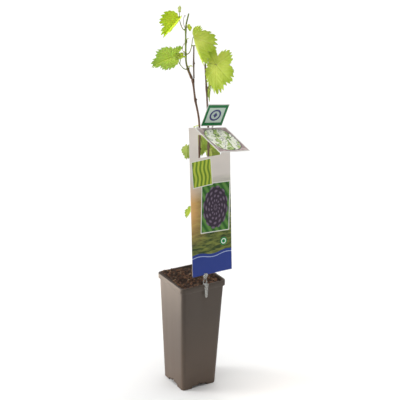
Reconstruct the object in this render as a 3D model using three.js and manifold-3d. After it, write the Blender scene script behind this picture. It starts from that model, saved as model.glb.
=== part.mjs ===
// A young grapevine in a square plastic nursery pot. One short trunk forks into two thin
// arms; the left one forks again into a shoot and a bare spur, and leafy sprays grow from
// them. A clip on the pot's rim holds a tall label, and a folded card tag leans on that.
//
// Millimetres and degrees, +Z up. The origin is the middle of the pot's flat underside, and
// the labelled side of the pot faces -Y. A heading is an angle from +X towards +Y.

import * as THREE from "three";
import { mergeVertices } from "three/addons/utils/BufferGeometryUtils.js";
import Module from "manifold-3d";

const wasm = await Module();
wasm.setup();

// ------------------------------------------------------------------ driving dimensions

const CLEARANCE = 0.3; // between two pieces that rest on each other
const STEM_CLEARANCE = 0.4; // between a spray's stem and its cane

const POT = {
  height: 210,
  baseWidth: 71.5,
  bodyWidth: 88, // at the rim's height
  rimWidth: 92.5,
  rimBand: 10, // height of the lip
  lipThickness: 1.3,
  wall: 1.4,
  corner: 7,
  floorTop: 7,
};
const NOTCH = { width: 31, height: 5, depth: 13 }; // between the feet at the corners
const DRAIN = { radius: 2.5, height: 7.2 };

const SOIL = { edge: 203, mound: 3.5, lump: 1.2, seat: 204, seatRadius: 9 };

const LABEL = {
  width: 82,
  top: [[82, 252], [74, 259.6], [0, 269]], // its upper edge, from right to left
  thickness: 0.8,
  x: 17.8, // middle of the foot
  y: -42,
  foot: 228,
  lean: 4.7,
};
const WINDOW = { start: 17.6, end: 64, foot: 213.7, left: 254.8, right: 243 };

const TAG = {
  corner: [-23.4, -41, 500.7], // left end of the fold
  heading: 14.6,
  dip: 9.6,
  thickness: 0.6,
  flap: { width: 77, height: 67.7, tilt: -24 }, // hangs forward from the fold
  neck: { start: 40, width: 4, height: 4.2 }, // joins the card to the fold
  card: { start: 11.7, width: 53, rise: 3.6, height: 41, tilt: -105.8 },
};

const CLIP = {
  x: 3,
  width: 8,
  thickness: 1.3,
  tongueFoot: 186, // outside the pot
  inset: 4.6, // from the rim's outer face to the inner tongue
  innerDepth: 5,
  jawFoot: 223,
  jawHeight: 8,
  lip: 1.1, // each jaw's thickness
};

// Canes, from the trunk up: the route of the middle line, the radius at both ends, the
// places of the nodes as shares of the length, and how much a node swells.
const CANES = {
  trunk: {
    route: [[9.1, 1.4, 204.3], [9.3, -1, 235], [8.5, -5.2, 285.7]],
    radius: [5.3, 4.3],
    flare: 2.3, // added to the radius at the foot
    knuckle: 0.6, // added to the radius at the tip
    nodes: [0.38, 0.7],
    colour: 0x4a3b31,
  },
  arm_left: {
    route: [[6.7, -4.1, 286], [7.7, -4.7, 400], [7.3, -4.5, 492], [0.2, -0.1, 540],
      [-3.7, 2.3, 574]],
    radius: [1.95, 1.75],
    knuckle: 1.4,
    nodes: [0.17, 0.31, 0.565, 0.67, 0.87],
    colour: 0x54443a,
  },
  arm_right: {
    route: [[10.4, -6.4, 286], [19, -11.7, 385], [21.3, -13.1, 449], [18.7, -11.5, 520],
      [13.8, -8.5, 598]],
    radius: [2.0, 1.5],
    nodes: [0.19, 0.38, 0.54, 0.72, 0.87],
    colour: 0x5a4a40,
  },
  shoot_left: {
    route: [[-5.1, 3.1, 574.3], [-11.2, 6.9, 592], [-13.8, 8.5, 606], [-14.6, 9, 640],
      [-14.4, 8.9, 664], [-10.8, 6.7, 684]],
    radius: [1.6, 1.2],
    flare: 0.9,
    nodes: [0.15, 0.38, 0.56, 0.75],
    colour: 0x7c7a4a,
  },
  spur_left: {
    route: [[-1.9, 1.2, 574.3], [-2.7, 1.7, 600], [-2.9, 1.8, 630]],
    radius: [1.3, 1.2],
    nodes: [0.46],
    colour: 0x55473d,
  },
};
const CANE_SIDES = 8;
const NODE_SWELLING = 0.32; // share of the radius
const NODE_REACH = 5; // half the length of a swelling

// A grape leaf: five lobes, each with its angle from the midrib, its length as a share of
// the middle lobe's and its half width.
const LOBES = [
  [0, 1, 50],
  [52, 0.9, 48],
  [-52, 0.9, 48],
  [124, 0.76, 48],
  [-124, 0.76, 48],
];
const SINUS = 0.1; // outline's radius where the stalk comes in
const TOOTH = 0.13; // depth of a notch between two teeth, as a share of the radius
const RIPPLE = 0.03; // height of the waves near the margin, as a share of the size
const BLADE_THICKNESS = 0.014; // share of the size
const LEAF_COLOUR = 0x8fae2b;

// A spray's twigs in order. Each twig starts on the cane, or at a share of the length of an
// earlier twig (from, at), and runs its length along a heading and a rise. A twig with a
// size ends in a leaf of that size, with the heading, pitch and roll of its midrib. Pairs
// hold the blade's left half and then its right half: fold is the angle that each rises at
// from the midrib, spread its width as a share of a flat leaf's, basal the length of its
// lobe beside the stalk, and open the angle at which it ends there. Curl rolls each half up,
// and droop bends the midrib down.
const SPRAYS = {
  spray_crest: {
    cane: "shoot_left",
    height: 656.5,
    twigs: [
      { length: 22.5, heading: 148, rise: 58,
        size: 41, blade: [166, -46, 44], fold: [53, 30], curl: 0, droop: 16, spread: [0.8, 0.8],
        basal: [0.3, 0.4], open: [180, 118] },
      { from: 0, at: 0.85, length: 15.3, heading: 328, rise: 87,
        size: 8, blade: [250, 86, 0], fold: [40, 40], curl: 10, droop: 10, spread: [0.7, 0.7] },
    ],
  },
  spray_bud: {
    cane: "shoot_left",
    height: 662,
    twigs: [
      { length: 8, heading: 268, rise: 8,
        size: 9, blade: [274, -42, 0], fold: [30, 30], curl: 10, droop: 30, spread: [0.8, 0.8] },
    ],
  },
  spray_face: {
    cane: "shoot_left",
    height: 616,
    twigs: [
      { length: 33.6, heading: 306, rise: 67,
        size: 53, blade: [-93, -60, -60], fold: [-8, -60], curl: -20, droop: 30,
        spread: [0.95, 0.95], basal: [0.56, 0.3] },
      { from: 0, at: 0.5, length: 30, heading: 10, rise: -6,
        size: 30, blade: [38, -55, 0], droop: 30, spread: [0.8, 0.8] },
    ],
  },
  spray_left: {
    cane: "shoot_left",
    height: 591,
    twigs: [
      { length: 29.7, heading: 154, rise: 43,
        size: 44, blade: [158, -15, 26], fold: [9, 9], droop: 16, basal: [0.4, 0.85],
        open: [180, 136] },
      { from: 0, at: 0.5, length: 15.2, heading: 270, rise: 71,
        size: 12, blade: [173, -11, 30], fold: [10, 10], curl: 10, droop: 30 },
    ],
  },
  spray_right: {
    cane: "arm_right",
    height: 598,
    tip: true, // grows on from the cane's cut end
    twigs: [
      { length: 15, heading: 148, rise: 84, radius: 1.2 },
      { from: 0, at: 0.3, length: 26, heading: 286, rise: 2,
        size: 51, blade: [220, -77, -22], fold: [-22, 0], curl: -10, spread: [0.79, 0.64] },
      { from: 0, at: 0.7, length: 40, heading: 19, rise: -18,
        size: 40, blade: [24, -58, 0], droop: 30, spread: [0.8, 0.8] },
    ],
  },
  spray_small: {
    cane: "arm_right",
    height: 560,
    twigs: [
      { length: 9.1, heading: 344, rise: -36,
        size: 22, blade: [98, -81, 60], fold: [30, 30], curl: 10, droop: 10, spread: [0.5, 0.5] },
    ],
  },
  spray_upper_back: {
    cane: "arm_left",
    height: 486,
    twigs: [
      { length: 37, heading: 28, rise: -36,
        size: 43, blade: [40, -58, 0], droop: 30 },
    ],
  },
  spray_window: {
    cane: "arm_left",
    height: 474,
    twigs: [
      { length: 16.4, heading: 37, rise: -54,
        size: 29, blade: [56, -79, 10], fold: [20, 20], curl: 10, droop: 10, spread: [0.6, 0.6],
        basal: [0.6, 0.6] },
    ],
  },
  spray_side: {
    cane: "arm_left",
    height: 450,
    twigs: [
      { length: 22.8, heading: 122, rise: -3,
        size: 24, blade: [76, -78, -20], fold: [20, 20], curl: 10, droop: 10, spread: [0.65, 0.65],
        basal: [0.5, 0.6] },
    ],
  },
  spray_right_middle: {
    cane: "arm_right",
    height: 452,
    twigs: [
      { length: 12.5, heading: 20, rise: -35,
        size: 22.7, blade: [31, -79, 10], fold: [20, 20], curl: 10, droop: 10, spread: [0.8, 0.8],
        basal: [0.7, 0.7] },
    ],
  },
  spray_right_lower: {
    cane: "arm_right",
    height: 405,
    twigs: [
      { length: 20, heading: 18, rise: 0,
        size: 40, blade: [60, -66, 0], droop: 20 },
    ],
  },
  spray_back_lower: {
    cane: "arm_left",
    height: 376,
    twigs: [
      { length: 36, heading: 40, rise: -10,
        size: 40, blade: [54, -68, 0], droop: 20, spread: [0.8, 0.8] },
    ],
  },
  spray_right_low: {
    cane: "arm_right",
    height: 345,
    twigs: [
      { length: 20, heading: 24, rise: -16,
        size: 42, blade: [45, -60, 0], droop: 20 },
    ],
  },
  spray_left_low: {
    cane: "arm_left",
    height: 338,
    twigs: [
      { length: 14, heading: 140, rise: -16,
        size: 14.6, blade: [166, -56, 10], fold: [20, 20], curl: 10, droop: 10 },
    ],
  },
};
const TWIG_SIDES = 6;
const TWIG_RADIUS = 0.65;
const BIG_LEAF = 25; // leaves longer than this have a second ring of faces
const SEED = 11;

// ------------------------------------------------------------------ small helpers

const vec = (x, y, z) => new THREE.Vector3(x, y, z);
const rad = THREE.MathUtils.degToRad;
const lerp = THREE.MathUtils.lerp;

// Unit vector along a heading and a rise.
function bearing(heading, rise) {
  const level = Math.cos(rad(rise));
  return vec(level * Math.cos(rad(heading)), level * Math.sin(rad(heading)), Math.sin(rad(rise)));
}

// A closed solid from points and triangles, or from a three.js geometry.
function solidOf(geometry) {
  const bare = geometry.clone();
  bare.deleteAttribute("normal");
  bare.deleteAttribute("uv");
  const merged = mergeVertices(bare, 1e-4);
  return new wasm.Manifold(
    new wasm.Mesh({
      numProp: 3,
      vertProperties: new Float32Array(merged.attributes.position.array),
      triVerts: new Uint32Array(merged.index.array),
    }),
  );
}

function solidFrom(points, triangles) {
  const geometry = new THREE.BufferGeometry().setFromPoints(points);
  geometry.setIndex(triangles);
  return solidOf(geometry);
}

// A box with one corner at an origin and its edges along three perpendicular vectors.
function slab(origin, x, y, z, [width, depth, height]) {
  const geometry = new THREE.BoxGeometry(width, depth, height);
  geometry.translate(width / 2, depth / 2, height / 2);
  const frame = new THREE.Matrix4().makeBasis(x, y, z).setPosition(origin);
  return solidOf(geometry.applyMatrix4(frame));
}

function box([x0, y0, z0], [x1, y1, z1]) {
  return slab(vec(x0, y0, z0), vec(1, 0, 0), vec(0, 1, 0), vec(0, 0, 1), [
    x1 - x0,
    y1 - y0,
    z1 - z0,
  ]);
}

// A closed skin over rings of points, each ring turning anticlockwise as seen from the end.
function loft(rings) {
  const count = rings[0].length;
  const points = rings.flat();
  const triangles = [];
  for (let ring = 0; ring + 1 < rings.length; ring += 1) {
    for (let side = 0; side < count; side += 1) {
      const a = ring * count + side;
      const b = ring * count + ((side + 1) % count);
      triangles.push(a, b, b + count, a, b + count, a + count);
    }
  }
  const last = (rings.length - 1) * count;
  const middle = (ring) =>
    ring.reduce((sum, point) => sum.add(point), vec(0, 0, 0)).divideScalar(count);
  const foot = points.push(middle(rings[0])) - 1;
  const top = points.push(middle(rings.at(-1))) - 1;
  for (let side = 0; side < count; side += 1) {
    const next = (side + 1) % count;
    triangles.push(foot, next, side, top, last + side, last + next);
  }
  return solidFrom(points, triangles);
}

// Rings of a tube along a curve: one ring for each share of its length.
function tubeRings(curve, shares, radiusAt, sides) {
  const fine = 96;
  const frames = curve.computeFrenetFrames(fine, false);
  return shares.map((share) => {
    const centre = curve.getPointAt(share);
    const index = Math.round(share * fine);
    const across = frames.normals[index];
    const other = frames.binormals[index];
    return Array.from({ length: sides }, (_, side) => {
      const turn = (2 * Math.PI * side) / sides;
      return centre
        .clone()
        .addScaledVector(across, radiusAt(share) * Math.cos(turn))
        .addScaledVector(other, radiusAt(share) * Math.sin(turn));
    });
  });
}

// Moves a ring's points along a direction into the plane through a point square to it.
function flatten(ring, centre, direction) {
  ring.forEach((point) => {
    point.addScaledVector(direction, direction.dot(centre) - direction.dot(point));
  });
}

const steps = (count) => Array.from({ length: count + 1 }, (_, step) => step / count);

// Numbers from 0 to 1 that are the same at every run.
function seededNumbers(seed) {
  let state = seed;
  return () => {
    state = (state * 1664525 + 1013904223) % 4294967296;
    return state / 4294967296;
  };
}

// ------------------------------------------------------------------ pot and potting mix

const CORNER_STEPS = 4;

// A level square ring with round corners.
function squareRing(width, corner, z) {
  const reach = width / 2 - corner;
  const ring = [];
  for (let quarter = 0; quarter < 4; quarter += 1) {
    const middle = rad(45 + 90 * quarter);
    const x = reach * Math.SQRT2 * Math.cos(middle);
    const y = reach * Math.SQRT2 * Math.sin(middle);
    for (const share of steps(CORNER_STEPS)) {
      const turn = rad(90 * (quarter + share));
      ring.push(vec(x + corner * Math.cos(turn), y + corner * Math.sin(turn), z));
    }
  }
  return ring;
}

// The body's outer width at a height, as its four sides lean out.
const bodyWidth = (z) => lerp(POT.baseWidth, POT.bodyWidth, z / POT.height);

function squareLoft(rows) {
  return loft(rows.map(([width, corner, z]) => squareRing(width, corner, z)));
}

function cavity(inset, foot, top) {
  const row = (z) => [bodyWidth(z) - 2 * inset, POT.corner - inset, z];
  return squareLoft([row(foot), row(top)]);
}

function pot() {
  const lipFoot = POT.height - POT.rimBand;
  const body = squareLoft([
    [POT.baseWidth - 1.2, POT.corner - 1, 0],
    [bodyWidth(1), POT.corner, 1],
    [bodyWidth(POT.height - 1), POT.corner, POT.height - 1],
  ]);
  const skirt = squareLoft([
    [POT.rimWidth, POT.corner + 1, lipFoot],
    [POT.rimWidth, POT.corner + 1, POT.height - 0.8],
    [POT.rimWidth - 1.2, POT.corner, POT.height],
  ]);
  const inside = POT.rimWidth - 2 * POT.lipThickness;
  const underLip = squareLoft([
    [inside, POT.corner, lipFoot - 1],
    [inside, POT.corner, POT.height - POT.lipThickness],
  ]);
  let solid = skirt.subtract(underLip).add(body);
  solid = solid.subtract(cavity(POT.wall, POT.floorTop, POT.height + 1));
  for (let quarter = 0; quarter < 4; quarter += 1) {
    solid = solid.subtract(footCut(quarter));
  }
  return solid;
}

// One side's cut under the floor, with the round drain hole over it.
function footCut(quarter) {
  const face = POT.baseWidth / 2;
  const notch = new THREE.BoxGeometry(NOTCH.width, NOTCH.depth + 2, NOTCH.height + 1);
  notch.translate(0, -face + (NOTCH.depth - 2) / 2, (NOTCH.height - 1) / 2);
  const drain = new THREE.CylinderGeometry(DRAIN.radius, DRAIN.radius, 8, 12);
  drain.translate(0, -face + 1, 0).translate(0, 0, DRAIN.height);
  const turn = (geometry) => solidOf(geometry.rotateZ((quarter * Math.PI) / 2));
  return turn(notch).add(turn(drain));
}

function pottingMix() {
  const inset = POT.wall + CLEARANCE;
  const row = (z) => squareRing(bodyWidth(z) - 2 * inset, POT.corner - inset, z);
  const rings = [row(POT.floorTop + CLEARANCE), row(SOIL.edge)];
  const random = seededNumbers(SEED);
  const width = bodyWidth(SOIL.edge) - 2 * inset;
  for (const scale of [0.84, 0.62, 0.4, 0.2]) {
    const ring = squareRing(width * scale, (POT.corner - inset) * scale, SOIL.edge);
    const mound = SOIL.mound * (1 - scale * scale);
    rings.push(ring.map((point) => {
      point.z += mound + SOIL.lump * (2 * random() - 1);
      return point;
    }));
  }
  const [x, y] = CANES.trunk.route[0];
  const seat = new THREE.CylinderGeometry(SOIL.seatRadius, SOIL.seatRadius, 20, 16);
  seat.rotateX(Math.PI / 2).translate(x, y, SOIL.seat + 10);
  return loft(rings).subtract(solidOf(seat));
}

// ------------------------------------------------------------------ label, tag and clip

function labelFrame() {
  const up = vec(0, Math.sin(rad(LABEL.lean)), Math.cos(rad(LABEL.lean)));
  const back = vec(0, up.z, -up.y);
  const origin = vec(LABEL.x - LABEL.width / 2, LABEL.y - LABEL.thickness / 2, LABEL.foot);
  return { origin, across: vec(1, 0, 0), back, up };
}

function label() {
  const outline = new THREE.Shape([
    new THREE.Vector2(0, 0),
    new THREE.Vector2(LABEL.width, 0),
    ...LABEL.top.map((point) => new THREE.Vector2(...point)),
  ]);
  outline.holes.push(new THREE.Path([
    new THREE.Vector2(WINDOW.start, WINDOW.foot),
    new THREE.Vector2(WINDOW.end, WINDOW.foot),
    new THREE.Vector2(WINDOW.end, WINDOW.right),
    new THREE.Vector2(WINDOW.start, WINDOW.left),
  ]));
  const sheet = new THREE.ExtrudeGeometry(outline, {
    depth: LABEL.thickness,
    bevelEnabled: false,
  });
  const { origin, across, back, up } = labelFrame();
  origin.addScaledVector(back, LABEL.thickness);
  const front = back.clone().negate();
  return solidOf(sheet.applyMatrix4(
    new THREE.Matrix4().makeBasis(across, up, front).setPosition(origin)));
}

// One leaf of the folded tag, which turns by its tilt about the fold.
function tagLeaf(start, width, height, tilt) {
  const fold = bearing(TAG.heading, -TAG.dip);
  const level = bearing(TAG.heading + 90, 0);
  const lift = fold.clone().cross(level);
  const out = level.clone().multiplyScalar(Math.cos(rad(tilt)));
  out.addScaledVector(lift, -Math.sin(rad(tilt)));
  const face = fold.clone().cross(out);
  const origin = vec(...TAG.corner).addScaledVector(fold, start);
  origin.addScaledVector(face, -TAG.thickness / 2);
  return { origin, fold, out, face, size: [width, height, TAG.thickness] };
}

function tag() {
  const { flap, neck, card } = TAG;
  const lower = tagLeaf(0, flap.width, flap.height + TAG.thickness, flap.tilt);
  lower.origin.addScaledVector(lower.out, -flap.height);
  const middle = tagLeaf(neck.start, neck.width, neck.height, card.tilt);
  const upper = tagLeaf(card.start, card.width, card.height, card.tilt);
  upper.origin.addScaledVector(upper.out, card.rise);
  return [lower, middle, upper]
    .map(({ origin, fold, out, face, size }) => slab(origin, fold, out, face, size))
    .reduce((sum, leaf) => sum.add(leaf));
}

// A spring clip: a saddle over the rim's lip, and two arms that close on a pair of jaws.
function clip() {
  const face = -POT.rimWidth / 2;
  const outer = face - CLEARANCE - CLIP.thickness;
  const inner = face + CLIP.inset;
  const saddle = POT.height + CLEARANCE;
  const half = CLIP.width / 2;
  const strip = (y0, z0, y1, z1) =>
    box([CLIP.x - half, y0, z0], [CLIP.x + half, y1, z1]);
  const jawTop = CLIP.jawFoot + CLIP.jawHeight;
  const slot = LABEL.thickness / 2 + CLEARANCE;
  const slope = Math.tan(rad(LABEL.lean)) * (jawTop - LABEL.foot);
  const jawFront = LABEL.y - slot - CLIP.lip;
  const jawBack = LABEL.y + slope + slot + CLIP.lip;
  const arm = (side) => {
    const foot = squareRing(1.6, 0.3, saddle + 0.6);
    const top = squareRing(1.6, 0.3, CLIP.jawFoot + 0.6);
    const y = (jawFront + jawBack) / 2;
    const shift = (ring, x) => ring.map((point) => point.add(vec(CLIP.x + side * x, y, 0)));
    return loft([shift(foot, half - 0.9), shift(top, half - 2.4)]);
  };
  const pieces = [
    strip(outer, CLIP.tongueFoot, outer + CLIP.thickness, saddle + CLIP.thickness),
    strip(outer, saddle, inner + CLIP.thickness, saddle + CLIP.thickness),
    strip(inner, saddle - CLIP.innerDepth, inner + CLIP.thickness, saddle + CLIP.thickness),
    arm(-1),
    arm(1),
    strip(jawFront, CLIP.jawFoot, jawBack, jawTop),
  ];
  const whole = pieces.reduce((sum, piece) => sum.add(piece));
  const { origin, across, back, up } = labelFrame();
  origin.addScaledVector(back, -CLEARANCE).addScaledVector(up, -CLEARANCE);
  const room = [LABEL.width, LABEL.thickness + 2 * CLEARANCE, LABEL.top[0][1]];
  return whole.subtract(slab(origin, across, back, up, room));
}

// ------------------------------------------------------------------ trunk and canes

class Cane {
  constructor({ route, radius, nodes, flare = 0, knuckle = 0 }) {
    this.curve = new THREE.CatmullRomCurve3(
      route.map((point) => vec(...point)), false, "catmullrom", 0.5);
    this.length = this.curve.getLength();
    this.ends = radius;
    this.nodes = nodes;
    this.flare = flare;
    this.knuckle = knuckle;
  }

  // The taper, swollen at the nodes, flared at the foot and knobby at the tip.
  radiusAt(share) {
    const along = share * this.length;
    const bump = (middle, reach) => Math.exp(-(((along - middle) / reach) ** 2));
    const swelling = this.nodes.reduce(
      (sum, node) => sum + NODE_SWELLING * bump(node * this.length, NODE_REACH), 0);
    const taper = lerp(...this.ends, share) * (1 + swelling);
    return taper + this.flare * bump(0, 12) + this.knuckle * bump(this.length, 8);
  }

  // Share of the length at which the cane passes a height.
  shareAt(height) {
    let low = 0;
    let high = 1;
    for (let halving = 0; halving < 30; halving += 1) {
      const middle = (low + high) / 2;
      if (this.curve.getPointAt(middle).z < height) low = middle;
      else high = middle;
    }
    return (low + high) / 2;
  }

  solid() {
    const regular = steps(Math.max(4, Math.round(this.length / 24)));
    const reach = NODE_REACH / this.length;
    const atNodes = this.nodes.flatMap((node) => [node - reach, node, node + reach]);
    const clear = regular.filter(
      (share) => share === 0 || share === 1
        || atNodes.every((other) => Math.abs(other - share) > reach));
    const shares = [...clear, ...atNodes].sort((a, b) => a - b);
    const rings = tubeRings(this.curve, shares, (share) => this.radiusAt(share), CANE_SIDES);
    for (const ring of [rings[0], rings.at(-1)]) {
      const level = ring.reduce((sum, point) => sum + point.z, 0) / ring.length;
      ring.forEach((point) => point.setZ(level));
    }
    return loft(rings);
  }
}

// ------------------------------------------------------------------ leaves and sprays

// Radius of a leaf's outline at an angle from its midrib, as a share of its size: the
// longest of the lobes there. The basal lobes are scaled by the leaf's own shares, and
// past the leaf's own angle on either side lies the opening where the stalk comes in.
function outline(angle, { basal, open }) {
  if (Math.abs(angle) > open[angle > 0 ? 0 : 1]) return SINUS;
  const reach = LOBES.map(([middle, length, half]) => {
    const turn = (Math.abs(angle - middle) / half) * 60;
    const own = Math.abs(middle) > 90 ? basal[middle > 0 ? 0 : 1] : 1;
    return turn < 90 ? own * length * Math.cos(rad(turn)) : 0;
  });
  return Math.max(SINUS, ...reach);
}

// Place of a point of the flat leaf, with x along the midrib, once it has been folded
// along the midrib, curled across, rippled near the margin and drooped to its tip. Height
// is measured square to the blade.
function bend(x, y, height, leaf) {
  const { size, fold, curl, droop, spread, phase } = leaf;
  const side = Math.sign(y);
  const half = side > 0 ? 0 : 1;
  const across = (Math.abs(y) * spread[half]) / size;
  const first = rad(fold[half]);
  const turning = rad(curl) || 1e-6;
  const slope = first + turning * across;
  const distance = Math.hypot(x, y) / size;
  const ripple = RIPPLE * size * distance ** 2 * Math.sin(5 * Math.atan2(y, x) + phase);
  const out = (size * (Math.sin(slope) - Math.sin(first))) / turning
    - height * Math.sin(slope);
  const lift = (-size * (Math.cos(slope) - Math.cos(first))) / turning
    + (side === 0 ? height : height * Math.cos(slope)) + ripple;
  const drooping = rad(droop) || 1e-6;
  const angle = (drooping * x) / size;
  return vec(
    (size * Math.sin(angle)) / drooping + lift * Math.sin(angle),
    side * out,
    (-size * (1 - Math.cos(angle))) / drooping + lift * Math.cos(angle),
  );
}

// Midrib, left side and upper face of a leaf as three unit vectors.
function leafFrame([heading, pitch, roll]) {
  const midrib = bearing(heading, pitch);
  const upright = bearing(heading, pitch + 90);
  const left = upright.clone().cross(midrib);
  const turn = rad(roll);
  const face = upright.clone().multiplyScalar(Math.cos(turn))
    .addScaledVector(left, Math.sin(turn));
  const side = left.multiplyScalar(Math.cos(turn)).addScaledVector(upright, -Math.sin(turn));
  return [midrib, side, face];
}

function leafSolid(leaf, base) {
  const rays = leaf.size > BIG_LEAF ? 40 : 24;
  const rings = leaf.size > BIG_LEAF ? [0.5, 1] : [1];
  const thickness = Math.max(BLADE_THICKNESS * leaf.size, 0.35);
  const frame = new THREE.Matrix4().makeBasis(...leafFrame(leaf.blade)).setPosition(base);
  const points = [];
  for (const height of [thickness / 2, -thickness / 2]) {
    points.push(bend(0, 0, height, leaf));
    for (const ring of rings) {
      for (let ray = 0; ray < rays; ray += 1) {
        const angle = (360 * ray) / rays - 180;
        const tooth = ring === 1 && ray % 2 === 1 ? 1 - TOOTH : 1;
        const reach = ring * tooth * leaf.size * outline(angle, leaf);
        points.push(bend(reach * Math.cos(rad(angle)), reach * Math.sin(rad(angle)),
          height, leaf));
      }
    }
  }
  const sheet = points.length / 2;
  const triangles = [];
  for (let ray = 0; ray < rays; ray += 1) {
    const next = (ray + 1) % rays;
    triangles.push(0, 1 + ray, 1 + next, sheet, sheet + 1 + next, sheet + 1 + ray);
    for (let ring = 0; ring + 1 < rings.length; ring += 1) {
      const a = 1 + ring * rays + ray;
      const b = 1 + ring * rays + next;
      triangles.push(a, a + rays, b + rays, a, b + rays, b);
      triangles.push(sheet + a, sheet + b + rays, sheet + a + rays);
      triangles.push(sheet + a, sheet + b, sheet + b + rays);
    }
    const a = 1 + (rings.length - 1) * rays + ray;
    const b = 1 + (rings.length - 1) * rays + next;
    triangles.push(a, sheet + a, sheet + b, a, sheet + b, b);
  }
  return solidFrom(points.map((point) => point.applyMatrix4(frame)), triangles);
}

// A twig leaves its parent square to it, then bends to its end. A leaf's stalk runs on
// under the foot of the blade, so that the two fuse.
function twigCurve(start, outward, end, blade) {
  const reach = start.distanceTo(end);
  const second = start.clone().addScaledVector(outward, reach * 0.3);
  const third = start.clone().lerp(end, 0.75);
  const path = new THREE.CurvePath();
  path.add(new THREE.CubicBezierCurve3(start, second, third, end));
  if (blade) {
    const root = end.clone().addScaledVector(blade.midrib, blade.size * 0.1);
    path.add(new THREE.LineCurve3(end, root));
  }
  return new THREE.CatmullRomCurve3(path.getSpacedPoints(8), false, "centripetal");
}

function spray({ cane, height, tip = false, twigs }, canes, random) {
  const parent = canes[cane];
  const share = tip ? 1 : parent.shareAt(height);
  const bud = parent.curve.getPointAt(share);
  const along = parent.curve.getTangentAt(share);
  const grown = [];
  const pieces = [];
  for (const twig of twigs) {
    const direction = bearing(twig.heading, twig.rise);
    const radius = twig.radius ?? TWIG_RADIUS;
    let start;
    let outward = direction;
    let end;
    if (twig.from !== undefined) {
      start = grown[twig.from].getPointAt(twig.at);
      end = start.clone().addScaledVector(direction, twig.length);
    } else if (tip) {
      outward = vec(0, 0, 1);
      start = bud.clone().addScaledVector(outward, CLEARANCE);
      end = bud.clone().addScaledVector(direction, twig.length);
    } else {
      outward = direction.clone().addScaledVector(along, -direction.dot(along)).normalize();
      start = bud.clone().addScaledVector(outward, parent.radiusAt(share) + STEM_CLEARANCE);
      end = bud.clone().addScaledVector(direction, twig.length);
    }
    const leaf = twig.size && {
      fold: [10, 10], curl: -8, droop: 20, spread: [0.9, 0.9], basal: [1, 1],
      open: [180, 180],
      phase: 2 * Math.PI * random(), ...twig,
    };
    const midrib = leaf && leafFrame(leaf.blade)[0];
    const curve = twigCurve(start, outward, end, leaf && { midrib, size: leaf.size });
    grown.push(curve);
    const rings = tubeRings(curve, steps(6), (at) => radius * lerp(1.25, 0.85, at), TWIG_SIDES);
    if (twig.from === undefined) flatten(rings[0], start, outward);
    pieces.push(loft(rings));
    if (leaf) pieces.push(leafSolid(leaf, end));
  }
  return pieces.reduce((sum, piece) => sum.add(piece));
}

// ------------------------------------------------------------------ the whole plant

const group = new THREE.Group();

function place(name, solid, colour, roughness) {
  const { vertProperties, triVerts } = solid.getMesh();
  const geometry = new THREE.BufferGeometry();
  geometry.setAttribute("position", new THREE.BufferAttribute(vertProperties, 3));
  geometry.setIndex(new THREE.BufferAttribute(triVerts, 1));
  geometry.computeVertexNormals();
  const material = new THREE.MeshStandardMaterial({ color: colour, roughness, metalness: 0 });
  const mesh = new THREE.Mesh(geometry, material);
  mesh.name = name;
  group.add(mesh);
}

place("pot", pot(), 0x6e645d, 0.45);
place("potting_mix", pottingMix(), 0x4a3226, 0.95);

const canes = {};
for (const [name, sizes] of Object.entries(CANES)) {
  canes[name] = new Cane(sizes);
  place(name, canes[name].solid(), sizes.colour, 0.8);
}

const random = seededNumbers(SEED);
for (const [name, sizes] of Object.entries(SPRAYS)) {
  place(name, spray(sizes, canes, random), LEAF_COLOUR, 0.55);
}

place("label", label(), 0xd9d6d2, 0.35);
place("tag", tag(), 0xe4e6dd, 0.5);
place("clip", clip(), 0xd6d8d4, 0.3);

export default group;
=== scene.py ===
import math

import bpy
import numpy as np
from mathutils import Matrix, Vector


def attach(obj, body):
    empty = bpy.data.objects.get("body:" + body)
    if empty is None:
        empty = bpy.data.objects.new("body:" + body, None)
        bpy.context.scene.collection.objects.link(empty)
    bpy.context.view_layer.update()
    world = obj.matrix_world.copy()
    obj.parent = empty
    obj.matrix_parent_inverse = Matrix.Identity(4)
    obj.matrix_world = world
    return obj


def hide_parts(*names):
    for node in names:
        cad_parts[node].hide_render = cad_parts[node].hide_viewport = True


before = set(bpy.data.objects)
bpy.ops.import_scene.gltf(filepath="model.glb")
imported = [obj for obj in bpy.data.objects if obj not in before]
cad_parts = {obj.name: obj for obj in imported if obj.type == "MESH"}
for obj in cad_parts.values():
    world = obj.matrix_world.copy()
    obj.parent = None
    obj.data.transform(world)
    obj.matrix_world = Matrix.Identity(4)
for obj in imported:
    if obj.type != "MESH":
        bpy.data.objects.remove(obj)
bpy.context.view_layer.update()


# ============================================================ the pot
# A tall square nursery pot of thin dark polypropylene, injection moulded: four
# flat sides that lean out, round corners, an overhung lip round the rim, and a
# low arch with a drain hole cut in the foot of each side.

MM = 0.001  # sizes are in millimetres, and meshes in metres
POT_HEIGHT = 210.0
BASE_WIDTH = 71.5
BODY_WIDTH = 88.0
RIM_WIDTH = 92.5
POT_CORNER = 7.0
CORNER_STEPS = 8
POT_WALL = 1.4
LIP_FOOT = 200.0
FLOOR_TOP = 7.0
ARCH_HALF = 15.5
ARCH_HEIGHT = 5.0
ARCH_DEPTH = 13.0
DRAIN_RADIUS = 2.5
DRAIN_CENTRE = 7.2
DRAIN_DEPTH = 3.0
OFF_ARCH = 99.0  # a place or a depth that no arch reaches
POT_TAUPE = (0.050, 0.036, 0.026)
POT_TAUPE_WORN = (0.070, 0.053, 0.041)
# Painted floor bounce: a paler, warmer colour towards the pot's foot that stands in for light
# from the floor
POT_FLOOR_BOUNCE = (0.150, 0.103, 0.072)
FLOOR_BOUNCE_TOP = 0.15  # metres up the pot that the painted floor bounce reaches


def closed_mesh(name, points, faces):
    """A mesh object from points in millimetres and faces as index tuples."""
    mesh = bpy.data.meshes.new(name)
    mesh.from_pydata((np.asarray(points, float) * MM).tolist(), [], faces)
    mesh.update()
    piece = bpy.data.objects.new(name, mesh)
    bpy.context.scene.collection.objects.link(piece)
    return piece


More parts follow.
